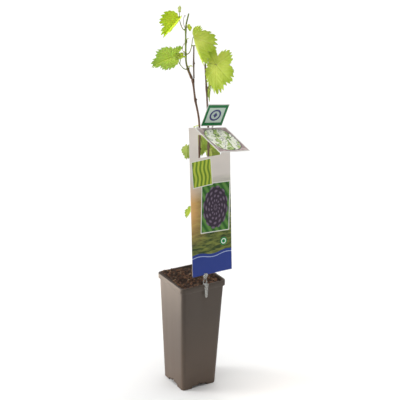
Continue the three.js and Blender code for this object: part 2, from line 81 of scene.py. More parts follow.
def grid_faces(rows, columns, first=0, closed=True):
    """Quads of a grid stored row by row. Closed joins the last column to the first."""
    across = np.arange(columns if closed else columns - 1)
    up = np.arange(rows - 1)[:, None]
    here = first + up * columns + across
    beside = first + up * columns + (across + 1) % columns
    quads = np.stack([here, beside, beside + columns, here + columns], -1)
    return quads.reshape(-1, 4).tolist()


def lofted(grid):
    """Points and faces of a closed skin over rings, grid[row, column], with a fan at
    each end round the middle of the end ring."""
    rows, columns, _ = grid.shape
    points = np.vstack([grid.reshape(-1, 3), grid[0].mean(0), grid[-1].mean(0)])
    foot, top, last = rows * columns, rows * columns + 1, (rows - 1) * columns
    faces = grid_faces(rows, columns)
    column = np.arange(columns)
    beside = (column + 1) % columns
    foot_fan = np.stack([np.full(columns, foot), beside, column], -1)
    top_fan = np.stack([np.full(columns, top), last + column, last + beside], -1)
    return points, faces + np.stack([foot_fan, top_fan], 1).reshape(-1, 3).tolist()


def smooth(piece, angle=None):
    """Smooth shading, kept sharp at edges that turn by more than the angle in degrees."""
    mesh = piece.data
    mesh.polygons.foreach_set("use_smooth", [True] * len(mesh.polygons))
    if angle is not None:
        mesh.set_sharp_from_angle(angle=math.radians(angle))


def square_ring(width, corner, shares):
    """Plan of a square with round corners. Shares are places along the straight run of
    each side, from -1 to 1, and each corner is a quarter circle of even steps."""
    reach = width / 2 - corner
    run = np.stack([reach * shares, np.full(len(shares), -width / 2)], -1)
    turn = np.radians(np.arange(1, CORNER_STEPS) / CORNER_STEPS * 90 - 90)
    arc = np.stack([reach + corner * np.cos(turn), -reach + corner * np.sin(turn)], -1)
    side = np.vstack([run, arc])
    quarter = [np.eye(2), [[0, -1], [1, 0]], [[-1, 0], [0, -1]], [[0, 1], [-1, 0]]]
    return np.vstack([side @ np.array(q, float).T for q in quarter])


def arch_height(across):
    """Height of the arch over a place along the foot: flat, with a round-topped drain
    hole in the middle, and nothing outside the arch."""
    hole = DRAIN_CENTRE + np.sqrt(np.clip(DRAIN_RADIUS**2 - across**2, 0, None))
    flat = np.where(np.abs(across) < ARCH_HALF, ARCH_HEIGHT, 0.0)
    return np.where(np.abs(across) < DRAIN_RADIUS - 0.01, hole, flat)


def pot_grid():
    """The pot's skin: a profile of half width, corner and height, from the middle of the
    underside, up outside, over the lip and down inside to the floor, carried round the
    square. Rows under the arch are raised to its height."""
    half = np.array([0, 0.03, 0.06, 0.085, 0.095, 0.2, 0.36, 0.53, 0.56, 0.7, 0.85, 1.0])
    shares = np.concatenate([-half[:0:-1], half])
    body = lambda z: (BASE_WIDTH + (BODY_WIDTH - BASE_WIDTH) * z / POT_HEIGHT) / 2
    base, rim = BASE_WIDTH / 2, RIM_WIDTH / 2
    under = [(r, 0.4, 0, base - r) for r in (2, 12, 22.4, 23)]
    under += [(base - 9, 1.5, 0, 9), (base - 3.2, 4, 0, 3.2), (base - 2.8, 4.4, 0, 2.8)]
    under += [(base - 0.7, 6.3, 0, 0), (base - 0.25, 6.8, 0.15, 0), (body(0.7), 7, 0.7, 0)]
    heights = (2, 3.5, 4.9, 5.2, 7, 9.8, 10.5, 16, 30, 60, 100, 140, 175, 196, 208.2)
    outside = [(body(z), POT_CORNER, z, 0) for z in heights]
    lip = [(44.5, 7.2, 208.7), (44.95, 7.5, 208.4), (44.95, 7.5, 200.5), (45.2, 7.7, 200.1),
           (45.6, 7.9, LIP_FOOT), (46.0, 8, 200.1), (rim, 8, 200.5), (rim, 8, 204),
           (rim, 8, 208.6), (rim - 0.1, 7.9, 209.3), (rim - 0.4, 7.6, 209.8),
           (rim - 0.9, 7.2, 210), (rim - 2.2, 6.4, 210), (43.1, 6, 210), (42.75, 5.8, 209.9),
           (42.55, 5.6, 209.5)]
    inside = [(body(z) - POT_WALL, 5.6, z) for z in (206, 196, 150, 80, 12, FLOOR_TOP)]
    floor = [(r, min(5, r / 2), FLOOR_TOP) for r in (30, 15, 4)]
    rows = under + outside + [(*row, OFF_ARCH) for row in lip + inside + floor]
    grid = []
    for reach, corner, z, depth in rows:
        plan = square_ring(2 * reach, corner, shares)
        level = np.full(len(plan), float(z))
        if depth < ARCH_DEPTH and z < DRAIN_CENTRE + DRAIN_RADIUS:
            across = np.tile(np.concatenate([
                shares * (base - POT_CORNER), np.full(CORNER_STEPS - 1, OFF_ARCH)]), 4)
            arch = arch_height(across)
            if depth >= DRAIN_DEPTH:
                arch = np.minimum(arch, ARCH_HEIGHT)
            level = np.where(level < arch, arch + 0.02 * level, level)
        grid.append(np.column_stack([plan, level]))
    return np.array(grid)


def operator(operation):
    """A method that adds the Math node of this operation to a field's tree."""
    return lambda self, *other: self.math(operation, *other)


class Field:
    """What a node gives out, as it changes over a surface. Arithmetic on fields adds Math
    nodes to their tree and gives a new field."""

    __add__, __sub__, __mul__ = map(operator, ("ADD", "SUBTRACT", "MULTIPLY"))
    __truediv__, __pow__, __abs__ = map(operator, ("DIVIDE", "POWER", "ABSOLUTE"))
    __lt__, __gt__ = map(operator, ("LESS_THAN", "GREATER_THAN"))

    def __init__(self, socket):
        self.socket, self.tree = socket, socket.id_data

    def __rsub__(self, number):
        """The number less the field."""
        return self.math("MULTIPLY_ADD", -1.0, number)

    def math(self, operation, *others):
        """A Math node on the field and up to two other values, in that order."""
        return add(self.tree, "Math", dict(enumerate((self, *others))), operation=operation)

    def ramp(self, low, high, first=0.0, last=1.0):
        """First below low, last above high, and a straight run between."""
        return add(self.tree, "MapRange", {"Value": self, "From Min": low, "From Max": high,
                                           "To Min": first, "To Max": last})

    def noise(self, scale, detail, roughness=0.5):
        """Noise from 0 to 1 at a place, its detail in octaves of twice the scale."""
        return add(self.tree, "TexNoise", {"Vector": self, "Scale": scale,
                                           "Detail": detail, "Roughness": roughness})

    def mapped(self, **change):
        """A place scaled, then turned, then moved."""
        return add(self.tree, "Mapping", {"Vector": self, **change})

    def parts(self):
        """The x, y and z of a place."""
        return add(self.tree, "SeparateXYZ", {0: self}, None)


def add(tree, kind, values=None, output=0, **settings):
    """A new node with its settings, and its inputs as fields or plain values. Gives one
    output as a field, or all of them where output is None."""
    node = tree.nodes.new("ShaderNode" + kind)
    for key, value in settings.items():
        setattr(node, key, value)
    for key, value in (values or {}).items():
        if isinstance(value, Field):
            tree.links.new(value.socket, node.inputs[key])
        else:
            node.inputs[key].default_value = value
    if output is None:
        return [Field(socket) for socket in node.outputs]
    return Field(node.outputs[output])


def object_place(tree):
    """The place of each point on its object, in metres."""
    return add(tree, "TexCoord", output="Object")


def mix(share, first, second):
    """Colour between two, by a share from 0 to 1."""
    tree = next(value.tree for value in (share, first, second) if isinstance(value, Field))
    first, second = (value if isinstance(value, Field) else (*value, 1)
                     for value in (first, second))
    return add(tree, "Mix", {0: share, 6: first, 7: second}, 2, data_type="RGBA")


def shader(name, **constants):
    """A new material and its tree, with constants set on its shader by input name."""
    material = bpy.data.materials.new(name)
    material.use_nodes = True
    inputs = material.node_tree.nodes["Principled BSDF"].inputs
    for label, value in constants.items():
        inputs[label.replace("_", " ")].default_value = value
    return material, material.node_tree


def finished(material, colour=None, gloss=None, bump=None):
    """The material, with a colour, a roughness and a bump (height, strength, distance in
    metres) linked into its shader."""
    tree = material.node_tree
    if bump is not None:
        bump = add(tree, "Bump", dict(zip(("Height", "Strength", "Distance"), bump)))
    inputs = tree.nodes["Principled BSDF"].inputs
    for label, field in (("Base Color", colour), ("Roughness", gloss), ("Normal", bump)):
        if field is not None:
            tree.links.new(field.socket, inputs[label])
    return material


def group_of(name, inputs, build):
    """A shader node group with named sockets. An input with no default is a vector, and
    all others are numbers. Build gets them as fields by name, and gives the outputs."""
    tree = bpy.data.node_groups.new(name, "ShaderNodeTree")
    for label, value in inputs.items():
        kind = "NodeSocketVector" if value is None else "NodeSocketFloat"
        socket = tree.interface.new_socket(label, in_out="INPUT", socket_type=kind)
        if value is not None:
            socket.default_value = value
    start = tree.nodes.new("NodeGroupInput").outputs
    built = build(tree, {label: Field(start[label]) for label in inputs})
    for label in built:
        tree.interface.new_socket(label, in_out="OUTPUT", socket_type="NodeSocketFloat")
    end = tree.nodes.new("NodeGroupOutput").inputs
    for label, field in built.items():
        tree.links.new(field.socket, end[label])
    return tree


def placed(tree, group, *values):
    """The outputs of a node group as fields, with its inputs given in order."""
    return add(tree, "Group", dict(enumerate(values)), None, node_tree=group)


def mottle_nodes(tree, given):
    """Noise on the object's own coordinates: broad, in patches pushed towards 0 and 1,
    and fine, as it comes."""
    place = object_place(tree)
    broad = place.noise(given["Broad scale"], 3.0, 0.55)
    return {"Broad": broad.ramp(0.35, 0.65), "Fine": place.noise(given["Fine scale"], 4.0, 0.6)}


MOTTLE = group_of("mottle", {"Broad scale": 20.0, "Fine scale": 400.0}, mottle_nodes)


def mottled(name, scales, first, second, most=1.0, **constants):
    """A material of two close colours in broad patches, the second at most so strong."""
    material, tree = shader(name, **constants)
    broad, _ = placed(tree, MOTTLE, *scales)
    return finished(material, mix(broad * most, first, second))


def pot_plastic():
    """Dark taupe plastic, a little paler where hands have rubbed it and paler and warmer
    towards its foot as a painted floor bounce, with upright flow lines from the mould in its
    gloss and a fine grain."""
    material, tree = shader("pot_plastic", Specular_IOR_Level=0.35)
    broad, fine = placed(tree, MOTTLE, 14.0, 900.0)
    place = object_place(tree)
    # Painted floor bounce: the colour grows paler and warmer towards the foot, with a little
    # fine noise
    painted_bounce = place.parts()[2].ramp(0.0, FLOOR_BOUNCE_TOP, 0.55, 0.0) + fine * 0.06
    colour = mix(painted_bounce, mix(broad * 0.35, POT_TAUPE, POT_TAUPE_WORN), POT_FLOOR_BOUNCE)
    flow = place.mapped(Scale=(75, 75, 3)).noise(1.0, 1.0)
    gloss = (flow + broad * 0.3).ramp(0.25, 1.0, 0.29, 0.44)
    return finished(material, colour, gloss, (fine, 0.10, 0.0002))


pot = closed_mesh("pot_shell", *lofted(pot_grid()))
smooth(pot, 35)
pot.data.materials.append(pot_plastic())
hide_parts("pot")
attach(pot, "root")


# ============================================================ the potting mix
# Moist bark and peat, filled to just under the rim and heaped towards the back
# left corner. Its top is a rough bed with loose chips of bark lying over it:
# dark peat brown, red-brown inner bark, and a few pale splinters.

MIX_FOOT = 7.3
MIX_EDGE = 203.0
MIX_MOUND = 3.0
MIX_HEAP = 8.5
MIX_SEED = 11
PEAT = ((0.022, 0.012, 0.008), (0.070, 0.040, 0.025))
CHIP_KINDS = {  # name: count, length, colour, paler colour
    "dark": (560, (4, 9), (0.030, 0.016, 0.010), (0.100, 0.058, 0.036)),
    "red": (330, (3.5, 9), (0.105, 0.046, 0.022), (0.260, 0.130, 0.070)),
    "pale": (60, (3, 9), (0.240, 0.150, 0.080), (0.420, 0.300, 0.190)),
}
TRUNK_FOOT = (9.1, 1.4)
TRUNK_CLEAR = 11.5  # no chip lies nearer to the trunk's middle than this
BED_REACH = 42.0  # half the bed's width
MIX_INSET = 0.3  # between the mix and the pot's wall
MIX_CORNER = 5.3
RIM_INSIDE = 205  # height at which the bed's width is taken


def pot_half(z):
    """Half the pot's inner width at a height."""
    return (BASE_WIDTH + (BODY_WIDTH - BASE_WIDTH) * z / POT_HEIGHT) / 2 - POT_WALL


def mix_height(x, y):
    """Height of the bed: the edge's, plus a low dome, plus a heap to the back left, plus
    lumps as the product of two sine waves."""
    dome = MIX_MOUND * (1 - (x**2 + y**2) / (2 * BED_REACH**2))
    heap = MIX_HEAP * np.clip((y - x) / (2 * BED_REACH) + 0.1, 0, 1) ** 1.4
    lumps = 0.7 * np.sin(x * 0.9 + 1.3 * np.sin(y * 0.5)) * np.sin(y * 0.8 + 0.7)
    return MIX_EDGE + dome + heap + lumps


def mix_grid():
    """Square rings: up the sides from the floor, then in over the bed to its middle."""
    shares = np.linspace(-1, 1, 15)
    plan = lambda z: square_ring(2 * (pot_half(z) - MIX_INSET), MIX_CORNER, shares)
    rows = [np.insert(plan(z), 2, z, axis=1) for z in (MIX_FOOT, 60, 120, 170, 198)]
    for ring in (plan(RIM_INSIDE) * scale for scale in np.linspace(1, 0.03, 22)):
        rows.append(np.column_stack([ring, mix_height(*ring.T)]))
    return np.array(rows)


def bark_chips(count, lengths, seed):
    """Loose chips: each is a flake with seven corners, uneven in outline and thickness
    and smaller above, turned by three angles and laid on the bed, clear of the trunk."""
    rng = np.random.default_rng(seed)
    sides = 7
    angle = np.linspace(0, 2 * np.pi, sides, endpoint=False)
    radius = rng.uniform(0.65, 1.0, (count, sides))
    length = rng.uniform(*lengths, count)[:, None]
    width = length * rng.uniform(0.35, 0.7, (count, 1))
    thick = rng.uniform(0.8, 2.2, (count, 1))
    x = radius * np.cos(angle) * length / 2
    y = radius * np.sin(angle) * width / 2
    lower = np.stack([x, y, -thick / 2 * rng.uniform(0.6, 1, (count, sides))], -1)
    upper = np.stack([x * 0.86, y * 0.8, thick / 2 * rng.uniform(0.6, 1, (count, sides))], -1)
    flake = np.concatenate([lower, upper], 1)
    yaw = rng.uniform(0, 2 * np.pi, count)
    pitch = rng.normal(0, 0.42, count)
    roll = rng.normal(0, 0.42, count)
    cy, sy, cp, sp, cr, sr = (f(a) for a in (yaw, pitch, roll) for f in (np.cos, np.sin))
    zero, one = np.zeros(count), np.ones(count)
    turn_z = np.array([[cy, -sy, zero], [sy, cy, zero], [zero, zero, one]])
    turn_y = np.array([[cp, zero, sp], [zero, one, zero], [-sp, zero, cp]])
    turn_x = np.array([[one, zero, zero], [zero, cr, -sr], [zero, sr, cr]])
    turn = np.einsum("ijn,jkn,kln->nil", turn_z, turn_y, turn_x)
    flake = np.einsum("nij,nkj->nki", turn, flake)
    room = pot_half(RIM_INSIDE) - 0.6 - length[:, 0] * 0.36
    px, py = rng.uniform(-1, 1, (2, count)) * room
    away = np.hypot(px - TRUNK_FOOT[0], py - TRUNK_FOOT[1])
    push = np.clip(TRUNK_CLEAR - away, 0, None) / np.maximum(away, 0.1)
    px = np.clip(px + (px - TRUNK_FOOT[0]) * push, -room, room)
    py = np.clip(py + (py - TRUNK_FOOT[1]) * push, -room, room)
    pz = mix_height(px, py) + thick[:, 0] * 0.25 + rng.uniform(0, 1.6, count)
    flake += np.stack([px, py, pz], -1)[:, None]
    start = np.arange(count)[:, None] * 2 * sides
    side = np.arange(sides)
    beside = (side + 1) % sides
    walls = np.stack([start + side, start + beside, start + beside + sides,
                      start + side + sides], -1).reshape(-1, 4)
    tops = start + sides + side
    bottoms = start + side[::-1]
    return flake.reshape(-1, 3), walls.tolist() + tops.tolist() + bottoms.tolist()


def mix_material(name, colour, paler):
    """Damp fibrous bark: two close browns mixed by broad and fine noise, rough."""
    material, tree = shader(name, Roughness=0.88)
    broad, fine = placed(tree, MOTTLE, 160.0, 1500.0)
    return finished(material, mix(broad * fine, colour, paler), bump=(fine, 0.6, 0.0006))


bed = closed_mesh("mix_bed", *lofted(mix_grid()))
smooth(bed)
bed.data.materials.append(mix_material("mix_peat", *PEAT))
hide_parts("potting_mix")
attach(bed, "root")
for offset, (kind, (count, lengths, colour, paler)) in enumerate(CHIP_KINDS.items()):
    chips = closed_mesh(f"chips_{kind}", *bark_chips(count, lengths, MIX_SEED + offset))
    chips.data.materials.append(mix_material(f"bark_{kind}", colour, paler))
    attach(chips, "root")


# ============================================================ trunk and canes
# A short trunk with stringy bark forks into two ripe one-year canes. The left
# one ends in a knob and forks again into a green-brown shoot and a bare spur.
# Every cane swells at its nodes, and a small bud sits on each of those.

CANES = {  # route of the middle line, radius at both ends, flare, knuckle, nodes
    "trunk": dict(
        route=[[9.1, 1.4, 204.3], [9.3, -1, 235], [8.5, -5.2, 285.7]],
        radius=[5.3, 4.3], flare=2.3, knuckle=0.6, nodes=[0.38, 0.7]),
    "arm_left": dict(
        route=[[6.7, -4.1, 286], [7.7, -4.7, 400], [7.3, -4.5, 492], [0.2, -0.1, 540],
               [-3.7, 2.3, 574]],
        radius=[1.95, 1.75], flare=0, knuckle=1.4, nodes=[0.17, 0.31, 0.565, 0.67, 0.87]),
    "arm_right": dict(
        route=[[10.4, -6.4, 286], [19, -11.7, 385], [21.3, -13.1, 449],
               [18.7, -11.5, 520], [13.8, -8.5, 598]],
        radius=[2.0, 1.5], flare=0, knuckle=0, nodes=[0.19, 0.38, 0.54, 0.72, 0.87]),
    "shoot_left": dict(
        route=[[-5.1, 3.1, 574.3], [-11.2, 6.9, 592], [-13.8, 8.5, 606], [-14.6, 9, 640],
               [-14.4, 8.9, 664], [-10.8, 6.7, 684]],
        radius=[1.6, 1.2], flare=0.9, knuckle=0, nodes=[0.15, 0.38, 0.56, 0.75]),
    "spur_left": dict(
        route=[[-1.9, 1.2, 574.3], [-2.7, 1.7, 600], [-2.9, 1.8, 630]],
        radius=[1.3, 1.2], flare=0, knuckle=0, nodes=[0.46]),
}
NODE_SWELLING = 0.32
NODE_REACH = 5.0
FLARE_REACH = 12.0
KNUCKLE_REACH = 8.0
BARKS = {  # name: slot, furrow depth, furrows round, dark colour, pale colour
    "trunk": ("trunk", 0.42, 13, (0.032, 0.018, 0.011), (0.200, 0.128, 0.080)),
    "arm_left": ("cane", 0.11, 11, (0.040, 0.018, 0.011), (0.215, 0.125, 0.080)),
    "arm_right": ("cane", 0.11, 11, (0.048, 0.027, 0.018), (0.240, 0.155, 0.108)),
    "shoot_left": ("shoot", 0.06, 9, (0.060, 0.026, 0.012), (0.180, 0.098, 0.048)),
    "spur_left": ("cane", 0.06, 9, (0.050, 0.026, 0.017), (0.235, 0.155, 0.105)),
}
BARK_SEED = 40
END_ROUND = 1.1  # how far from its ends a cane starts to round off
SHOOT_GREEN = ((0.105, 0.145, 0.022), (0.270, 0.330, 0.080))
SHOOT_RIPE = (0.592, 0.622)  # heights in metres between which the shoot turns green


class Path:
    """A curve through dense points, read by share of its length. Travel is the running
    sum of the steps from point to point."""

    def __init__(self, points):
        self.points = np.asarray(points, float)
        step = np.linalg.norm(np.diff(self.points, axis=0), axis=1)
        self.travel = np.concatenate([[0], np.cumsum(step)])
        self.length = self.travel[-1]

    def at(self, share):
        """Points at shares of the length, from 0 to 1."""
        travel = np.asarray(share, float) * self.length
        return np.stack([np.interp(travel, self.travel, axis) for axis in self.points.T], -1)

    def along(self, share):
        """Unit tangents there."""
        share = np.asarray(share, float)
        step = self.at(np.minimum(share + 0.004, 1)) - self.at(np.maximum(share - 0.004, 0))
        return step / np.linalg.norm(step, axis=-1, keepdims=True)


def route_path(route):
    """A smooth curve through a route: between two stops it is the cubic whose slope at
    each stop is half the step between that stop's neighbours."""
    stops = np.asarray(route, float)
    padded = np.vstack([2 * stops[0] - stops[1], stops, 2 * stops[-1] - stops[-2]])
    t = np.linspace(0, 1, 60, endpoint=False)[:, None]
    spans = []
    for a, b, c, d in zip(padded, padded[1:], padded[2:], padded[3:]):
        first, second = (c - a) / 2, (d - b) / 2
        spans.append(b + first * t + (3 * (c - b) - 2 * first - second) * t**2
                     + (2 * (b - c) + first + second) * t**3)
    return Path(np.vstack([*spans, stops[-1:]]))


def unit(v):
    """Vectors divided by their own lengths."""
    return v / np.maximum(np.linalg.norm(v, axis=-1, keepdims=True), 1e-9)


def frames(path, shares):
    """Middle of each ring and its two directions across. Each ring's first direction is
    the last one's, made square to the path again."""
    centre, along = path.at(shares), path.along(shares)
    first = unit(np.cross(along[0], [0.31, 0.87, 0.13]))
    across = []
    for tangent in along:
        first = unit(first - tangent * np.dot(first, tangent))
        across.append(first)
    across = np.array(across)
    return centre, across, np.cross(along, across)


def tube(path, shares, radius, sides):
    """A closed skin over rings along a path: each ring is its middle, plus a radius times
    a turning spoke. Radius has a row for each ring, one value wide or one a side."""
    centre, across, other = frames(path, shares)
    turn = np.linspace(0, 2 * np.pi, sides, endpoint=False)
    spoke = (across[:, None] * np.cos(turn)[None, :, None]
             + other[:, None] * np.sin(turn)[None, :, None])
    return lofted(centre[:, None] + spoke * radius[..., None])


def cane_radius(cane, length, share):
    """The taper, swollen by a bell curve at each node, flared at the foot and knobby at
    the tip."""
    along = share * length
    bump = lambda middle, reach: np.exp(-(((along - middle) / reach) ** 2))
    swelling = sum(NODE_SWELLING * bump(node * length, NODE_REACH) for node in cane["nodes"])
    taper = (cane["radius"][0] * (1 - share) + cane["radius"][1] * share) * (1 + swelling)
    return (taper + cane["flare"] * bump(0, FLARE_REACH)
            + cane["knuckle"] * bump(length, KNUCKLE_REACH))


def furrows(turn, along, count, seed):
    """Bark relief from -1 to 1: ridges that run up the cane, as a sum of four waves round
    it whose places drift and sway with the height."""
    rng = np.random.default_rng(seed)
    total = np.zeros(np.broadcast(turn, along).shape)
    for wave in range(1, 5):
        ridges = round(count * wave * 0.6)
        drift = rng.uniform(0.01, 0.05) * along * wave
        sway = 0.8 * np.sin(along * rng.uniform(0.04, 0.12) + rng.uniform(0, 6))
        total += np.sin(ridges * turn + drift + sway + rng.uniform(0, 6)) / wave
    return total / 2.1


def fibre_nodes(tree, given):
    """Fibres, as noise stretched up the cane, and the share of the paler colour: it lies
    on ridges and fibres, and furrows are dark."""
    fibre = object_place(tree).mapped(Scale=(1100, 1100, 70)).noise(1.0, 4.0)
    return {"Pale": (given["Relief"] * 0.55 + fibre * 0.6).ramp(0.25, 0.85), "Fibre": fibre}


FIBRES = group_of("bark_fibres", {"Relief": 0.5}, fibre_nodes)


def bark_material(name, dark, pale, greens=None):
    """Fibrous bark that follows the mesh's own relief. With greens, it turns from brown
    to green between the two heights of a ripening shoot."""
    material, tree = shader(name, Roughness=0.78)
    relief = add(tree, "Attribute", output="Fac", attribute_name="relief")
    share, fibre = placed(tree, FIBRES, relief)
    colour = mix(share, dark, pale)
    if greens is not None:
        ripe = (fibre * 0.02 + object_place(tree).parts()[2]).ramp(*SHOOT_RIPE)
        colour = mix(ripe, colour, mix(share, *greens))
    return finished(material, colour, bump=(fibre, 0.5, 0.0003))


def float_attribute(piece, name, values):
    """A number stored on each vertex, for a material to read by name."""
    layer = piece.data.attributes.new(name, "FLOAT", "POINT")
    layer.data.foreach_set("value", np.asarray(values, np.float32))


limbs = {}
for number, (name, cane) in enumerate(CANES.items()):
    path = route_path(cane["route"])
    limbs[name] = (path, cane)
    slot, depth, count, dark, pale = BARKS[name]
    sides = 40 if name == "trunk" else 20
    rows = int(path.length / (1.0 if name == "trunk" else 1.6)) + 8
    shares = np.linspace(0, 1, rows)
    turn = np.linspace(0, 2 * np.pi, sides, endpoint=False)
    relief = furrows(turn[None], (shares * path.length)[:, None], count,
                     BARK_SEED + number)
    radius = cane_radius(cane, path.length, shares)[:, None] + depth * (relief - 0.4)
    round_off = np.clip(np.minimum(shares, 1 - shares) * path.length / END_ROUND, 0, 1)
    radius *= (0.72 + 0.28 * np.sqrt(round_off))[:, None]
    limb = closed_mesh(f"bark_{name}", *tube(path, shares, radius, sides))
    smooth(limb, 60)
    float_attribute(limb, "relief", [*(relief.ravel() * 0.5 + 0.5), 0.5, 0.5])
    greens = SHOOT_GREEN if name == "shoot_left" else None
    limb.data.materials.append(bark_material(f"bark_{name}", dark, pale, greens))
    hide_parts(name)
    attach(limb, "root")


# ============================================================ buds and loose bark
# A fat brown bud, an egg with a pointed tip, sits on each node, on alternate sides of the
# cane. Old bark comes off the trunk in thin strips, which lift at their ends.

BUD_SCALE = (0.070, 0.036, 0.022)
BUD_PALE = (0.200, 0.125, 0.085)
BUD_HEADINGS = (-32.0, 148.0)
STRIPS = 22
STRIP_SEED = 5
STRIP_THICKNESS = 0.22
STRIP_BARK = ((0.060, 0.036, 0.022), (0.230, 0.155, 0.100))


def joined(parts):
    """Points and faces of several meshes as one."""
    points, faces, first = [], [], 0
    for part_points, part_faces in parts:
        points.append(part_points)
        faces += [tuple(index + first for index in face) for face in part_faces]
        first += len(part_points)
    return np.vstack(points), faces


def bearing(heading, rise):
    """Unit vector along a heading and a rise, both in degrees."""
    a, e = np.radians(heading), np.radians(rise)
    return np.array([np.cos(e) * np.cos(a), np.cos(e) * np.sin(a), np.sin(e)])


def bud_mesh(path, cane, share, heading, size):
    """A bud: an egg that leans up and out from the cane, with a pointed tip."""
    tangent = path.along(share)
    outward = bearing(heading, 0)
    outward = unit(outward - tangent * np.dot(outward, tangent))
    skin = float(cane_radius(cane, path.length, share))
    foot = path.at(share) + outward * (skin * 0.7)
    stops = [foot - tangent * 0.7 * size, foot + outward * 0.7 * size + tangent * 0.6 * size,
             foot + outward * 1.3 * size + tangent * 2.6 * size]
    egg = route_path(stops)
    shares = np.linspace(0, 1, 12)
    radius = size * 1.15 * np.sqrt(np.sin(np.pi * (0.08 + 0.90 * shares**0.8)))
    return tube(egg, shares, radius[:, None], 12)


def bark_strips():
    """Strips that run up the trunk on its skin: each turns a little round it, and rises
    off it with the fourth power of the way to either end."""
    path, cane = limbs["trunk"]
    rng = np.random.default_rng(STRIP_SEED)
    parts = []
    for _ in range(STRIPS):
        length = rng.uniform(14, 42) / path.length
        start = rng.uniform(0.04, 0.95 - length)
        shares = np.linspace(start, start + length, 14)
        way = np.linspace(-1, 1, 14)
        centre, across, other = frames(path, shares)
        turn = rng.uniform(0, 2 * np.pi) + rng.uniform(-0.5, 0.5) * way / 2
        width = rng.uniform(0.9, 2.1) * np.sqrt(np.clip(1.02 - way**2, 0.05, 1))
        lift = cane_radius(cane, path.length, shares) + 0.1 + rng.uniform(0.3, 1.5) * way**4
        spoke = lambda angle: across * np.cos(angle)[:, None] + other * np.sin(angle)[:, None]
        half = width / 2 / lift
        ring = [centre + spoke(turn + side * half) * (lift + off)[:, None]
                for side, off in ((-1, 0), (-1, STRIP_THICKNESS), (1, STRIP_THICKNESS), (1, 0))]
        parts.append(lofted(np.stack(ring, 1)))
    return parts


buds = []
for name, (path, cane) in limbs.items():
    size = 1.25 if name == "trunk" else 0.72 if name in ("shoot_left", "spur_left") else 0.95
    for number, node in enumerate(cane["nodes"]):
        buds.append(bud_mesh(path, cane, node, BUD_HEADINGS[number % 2], size))
bud_piece = closed_mesh("cane_buds", *joined(buds))
smooth(bud_piece)
bud_piece.data.materials.append(
    mottled("bud_scales", (500.0, 2500.0), BUD_SCALE, BUD_PALE, Roughness=0.7))
strips = closed_mesh("loose_bark", *joined(bark_strips()))
smooth(strips, 40)
strips.data.materials.append(bark_material("bark_strip", *STRIP_BARK))
float_attribute(strips, "relief", np.full(len(strips.data.vertices), 0.6))
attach(bud_piece, "root")
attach(strips, "root")


# ============================================================ leaf stalks
# Each spray grows from a node: a stalk that leaves the cane square to it, bends
# to its leaf, and may carry a second stalk. Stalks are green, flushed red in patches.

def twig(length, heading, rise, size=None, blade=None, **others):
    """One stalk by its length and direction, and its leaf by its size, the heading, pitch
    and roll of its midrib, and what else sets it apart from LEAF_DEFAULTS. Start is the
    earlier stalk that it grows from, and the share of that one's length."""
    return dict(length=length, heading=heading, rise=rise, size=size, blade=blade, **others)


SPRAYS = {  # cane, height on it (None at its tip), and stalks
    "spray_crest": ("shoot_left", 656.5, [
        twig(22.5, 148, 58, 41, [166, -46, 44], fold=[53, 30], curl=0, droop=16,
             spread=[0.8, 0.8], basal=[0.3, 0.4], open=[180, 118]),
        twig(15.3, 328, 87, 8, [250, 86, 0], start=(0, 0.85), fold=[40, 40], curl=10,
             droop=10, spread=[0.7, 0.7])]),
    "spray_bud": ("shoot_left", 662, [
        twig(8, 268, 8, 9, [274, -42, 0], fold=[30, 30], curl=10, droop=30,
             spread=[0.8, 0.8])]),
    "spray_face": ("shoot_left", 616, [
        twig(33.6, 306, 67, 53, [-93, -60, -60], fold=[-8, -60], curl=-20, droop=30,
             spread=[0.95, 0.95], basal=[0.56, 0.3]),
        twig(30, 10, -6, 30, [38, -55, 0], start=(0, 0.5), droop=30, spread=[0.8, 0.8])]),
    "spray_left": ("shoot_left", 591, [
        twig(29.7, 154, 43, 44, [158, -15, 26], fold=[9, 9], droop=16, basal=[0.4, 0.85],
             open=[180, 136]),
        twig(15.2, 270, 71, 12, [173, -11, 30], start=(0, 0.5), curl=10, droop=30)]),
    "spray_right": ("arm_right", None, [
        twig(15, 148, 84, radius=1.2),
        twig(26, 286, 2, 51, [220, -77, -22], start=(0, 0.3), fold=[-22, 0], curl=-10,
             spread=[0.79, 0.64]),
        twig(40, 19, -18, 40, [24, -58, 0], start=(0, 0.7), droop=30, spread=[0.8, 0.8])]),
    "spray_small": ("arm_right", 560, [
        twig(9.1, 344, -36, 22, [98, -81, 60], fold=[30, 30], curl=10, droop=10,
             spread=[0.5, 0.5])]),
    "spray_upper_back": ("arm_left", 486, [
        twig(37, 28, -36, 43, [40, -58, 0], droop=30)]),
    "spray_window": ("arm_left", 474, [
        twig(16.4, 37, -54, 29, [56, -79, 10], fold=[20, 20], curl=10, droop=10,
             spread=[0.6, 0.6], basal=[0.6, 0.6])]),
    "spray_side": ("arm_left", 450, [
        twig(22.8, 122, -3, 24, [76, -78, -20], fold=[20, 20], curl=10, droop=10,
             spread=[0.65, 0.65], basal=[0.5, 0.6])]),
    "spray_right_middle": ("arm_right", 452, [
        twig(12.5, 20, -35, 22.7, [31, -79, 10], fold=[20, 20], curl=10, droop=10,
             spread=[0.8, 0.8], basal=[0.7, 0.7])]),
    "spray_right_lower": ("arm_right", 405, [twig(20, 18, 0, 40, [60, -66, 0])]),
    "spray_back_lower": ("arm_left", 376, [
        twig(36, 40, -10, 40, [54, -68, 0], spread=[0.8, 0.8])]),
    "spray_right_low": ("arm_right", 345, [twig(20, 24, -16, 42, [45, -60, 0])]),
    "spray_left_low": ("arm_left", 338, [
        twig(14, 140, -16, 14.6, [166, -56, 10], fold=[20, 20], curl=10, droop=10)]),
}
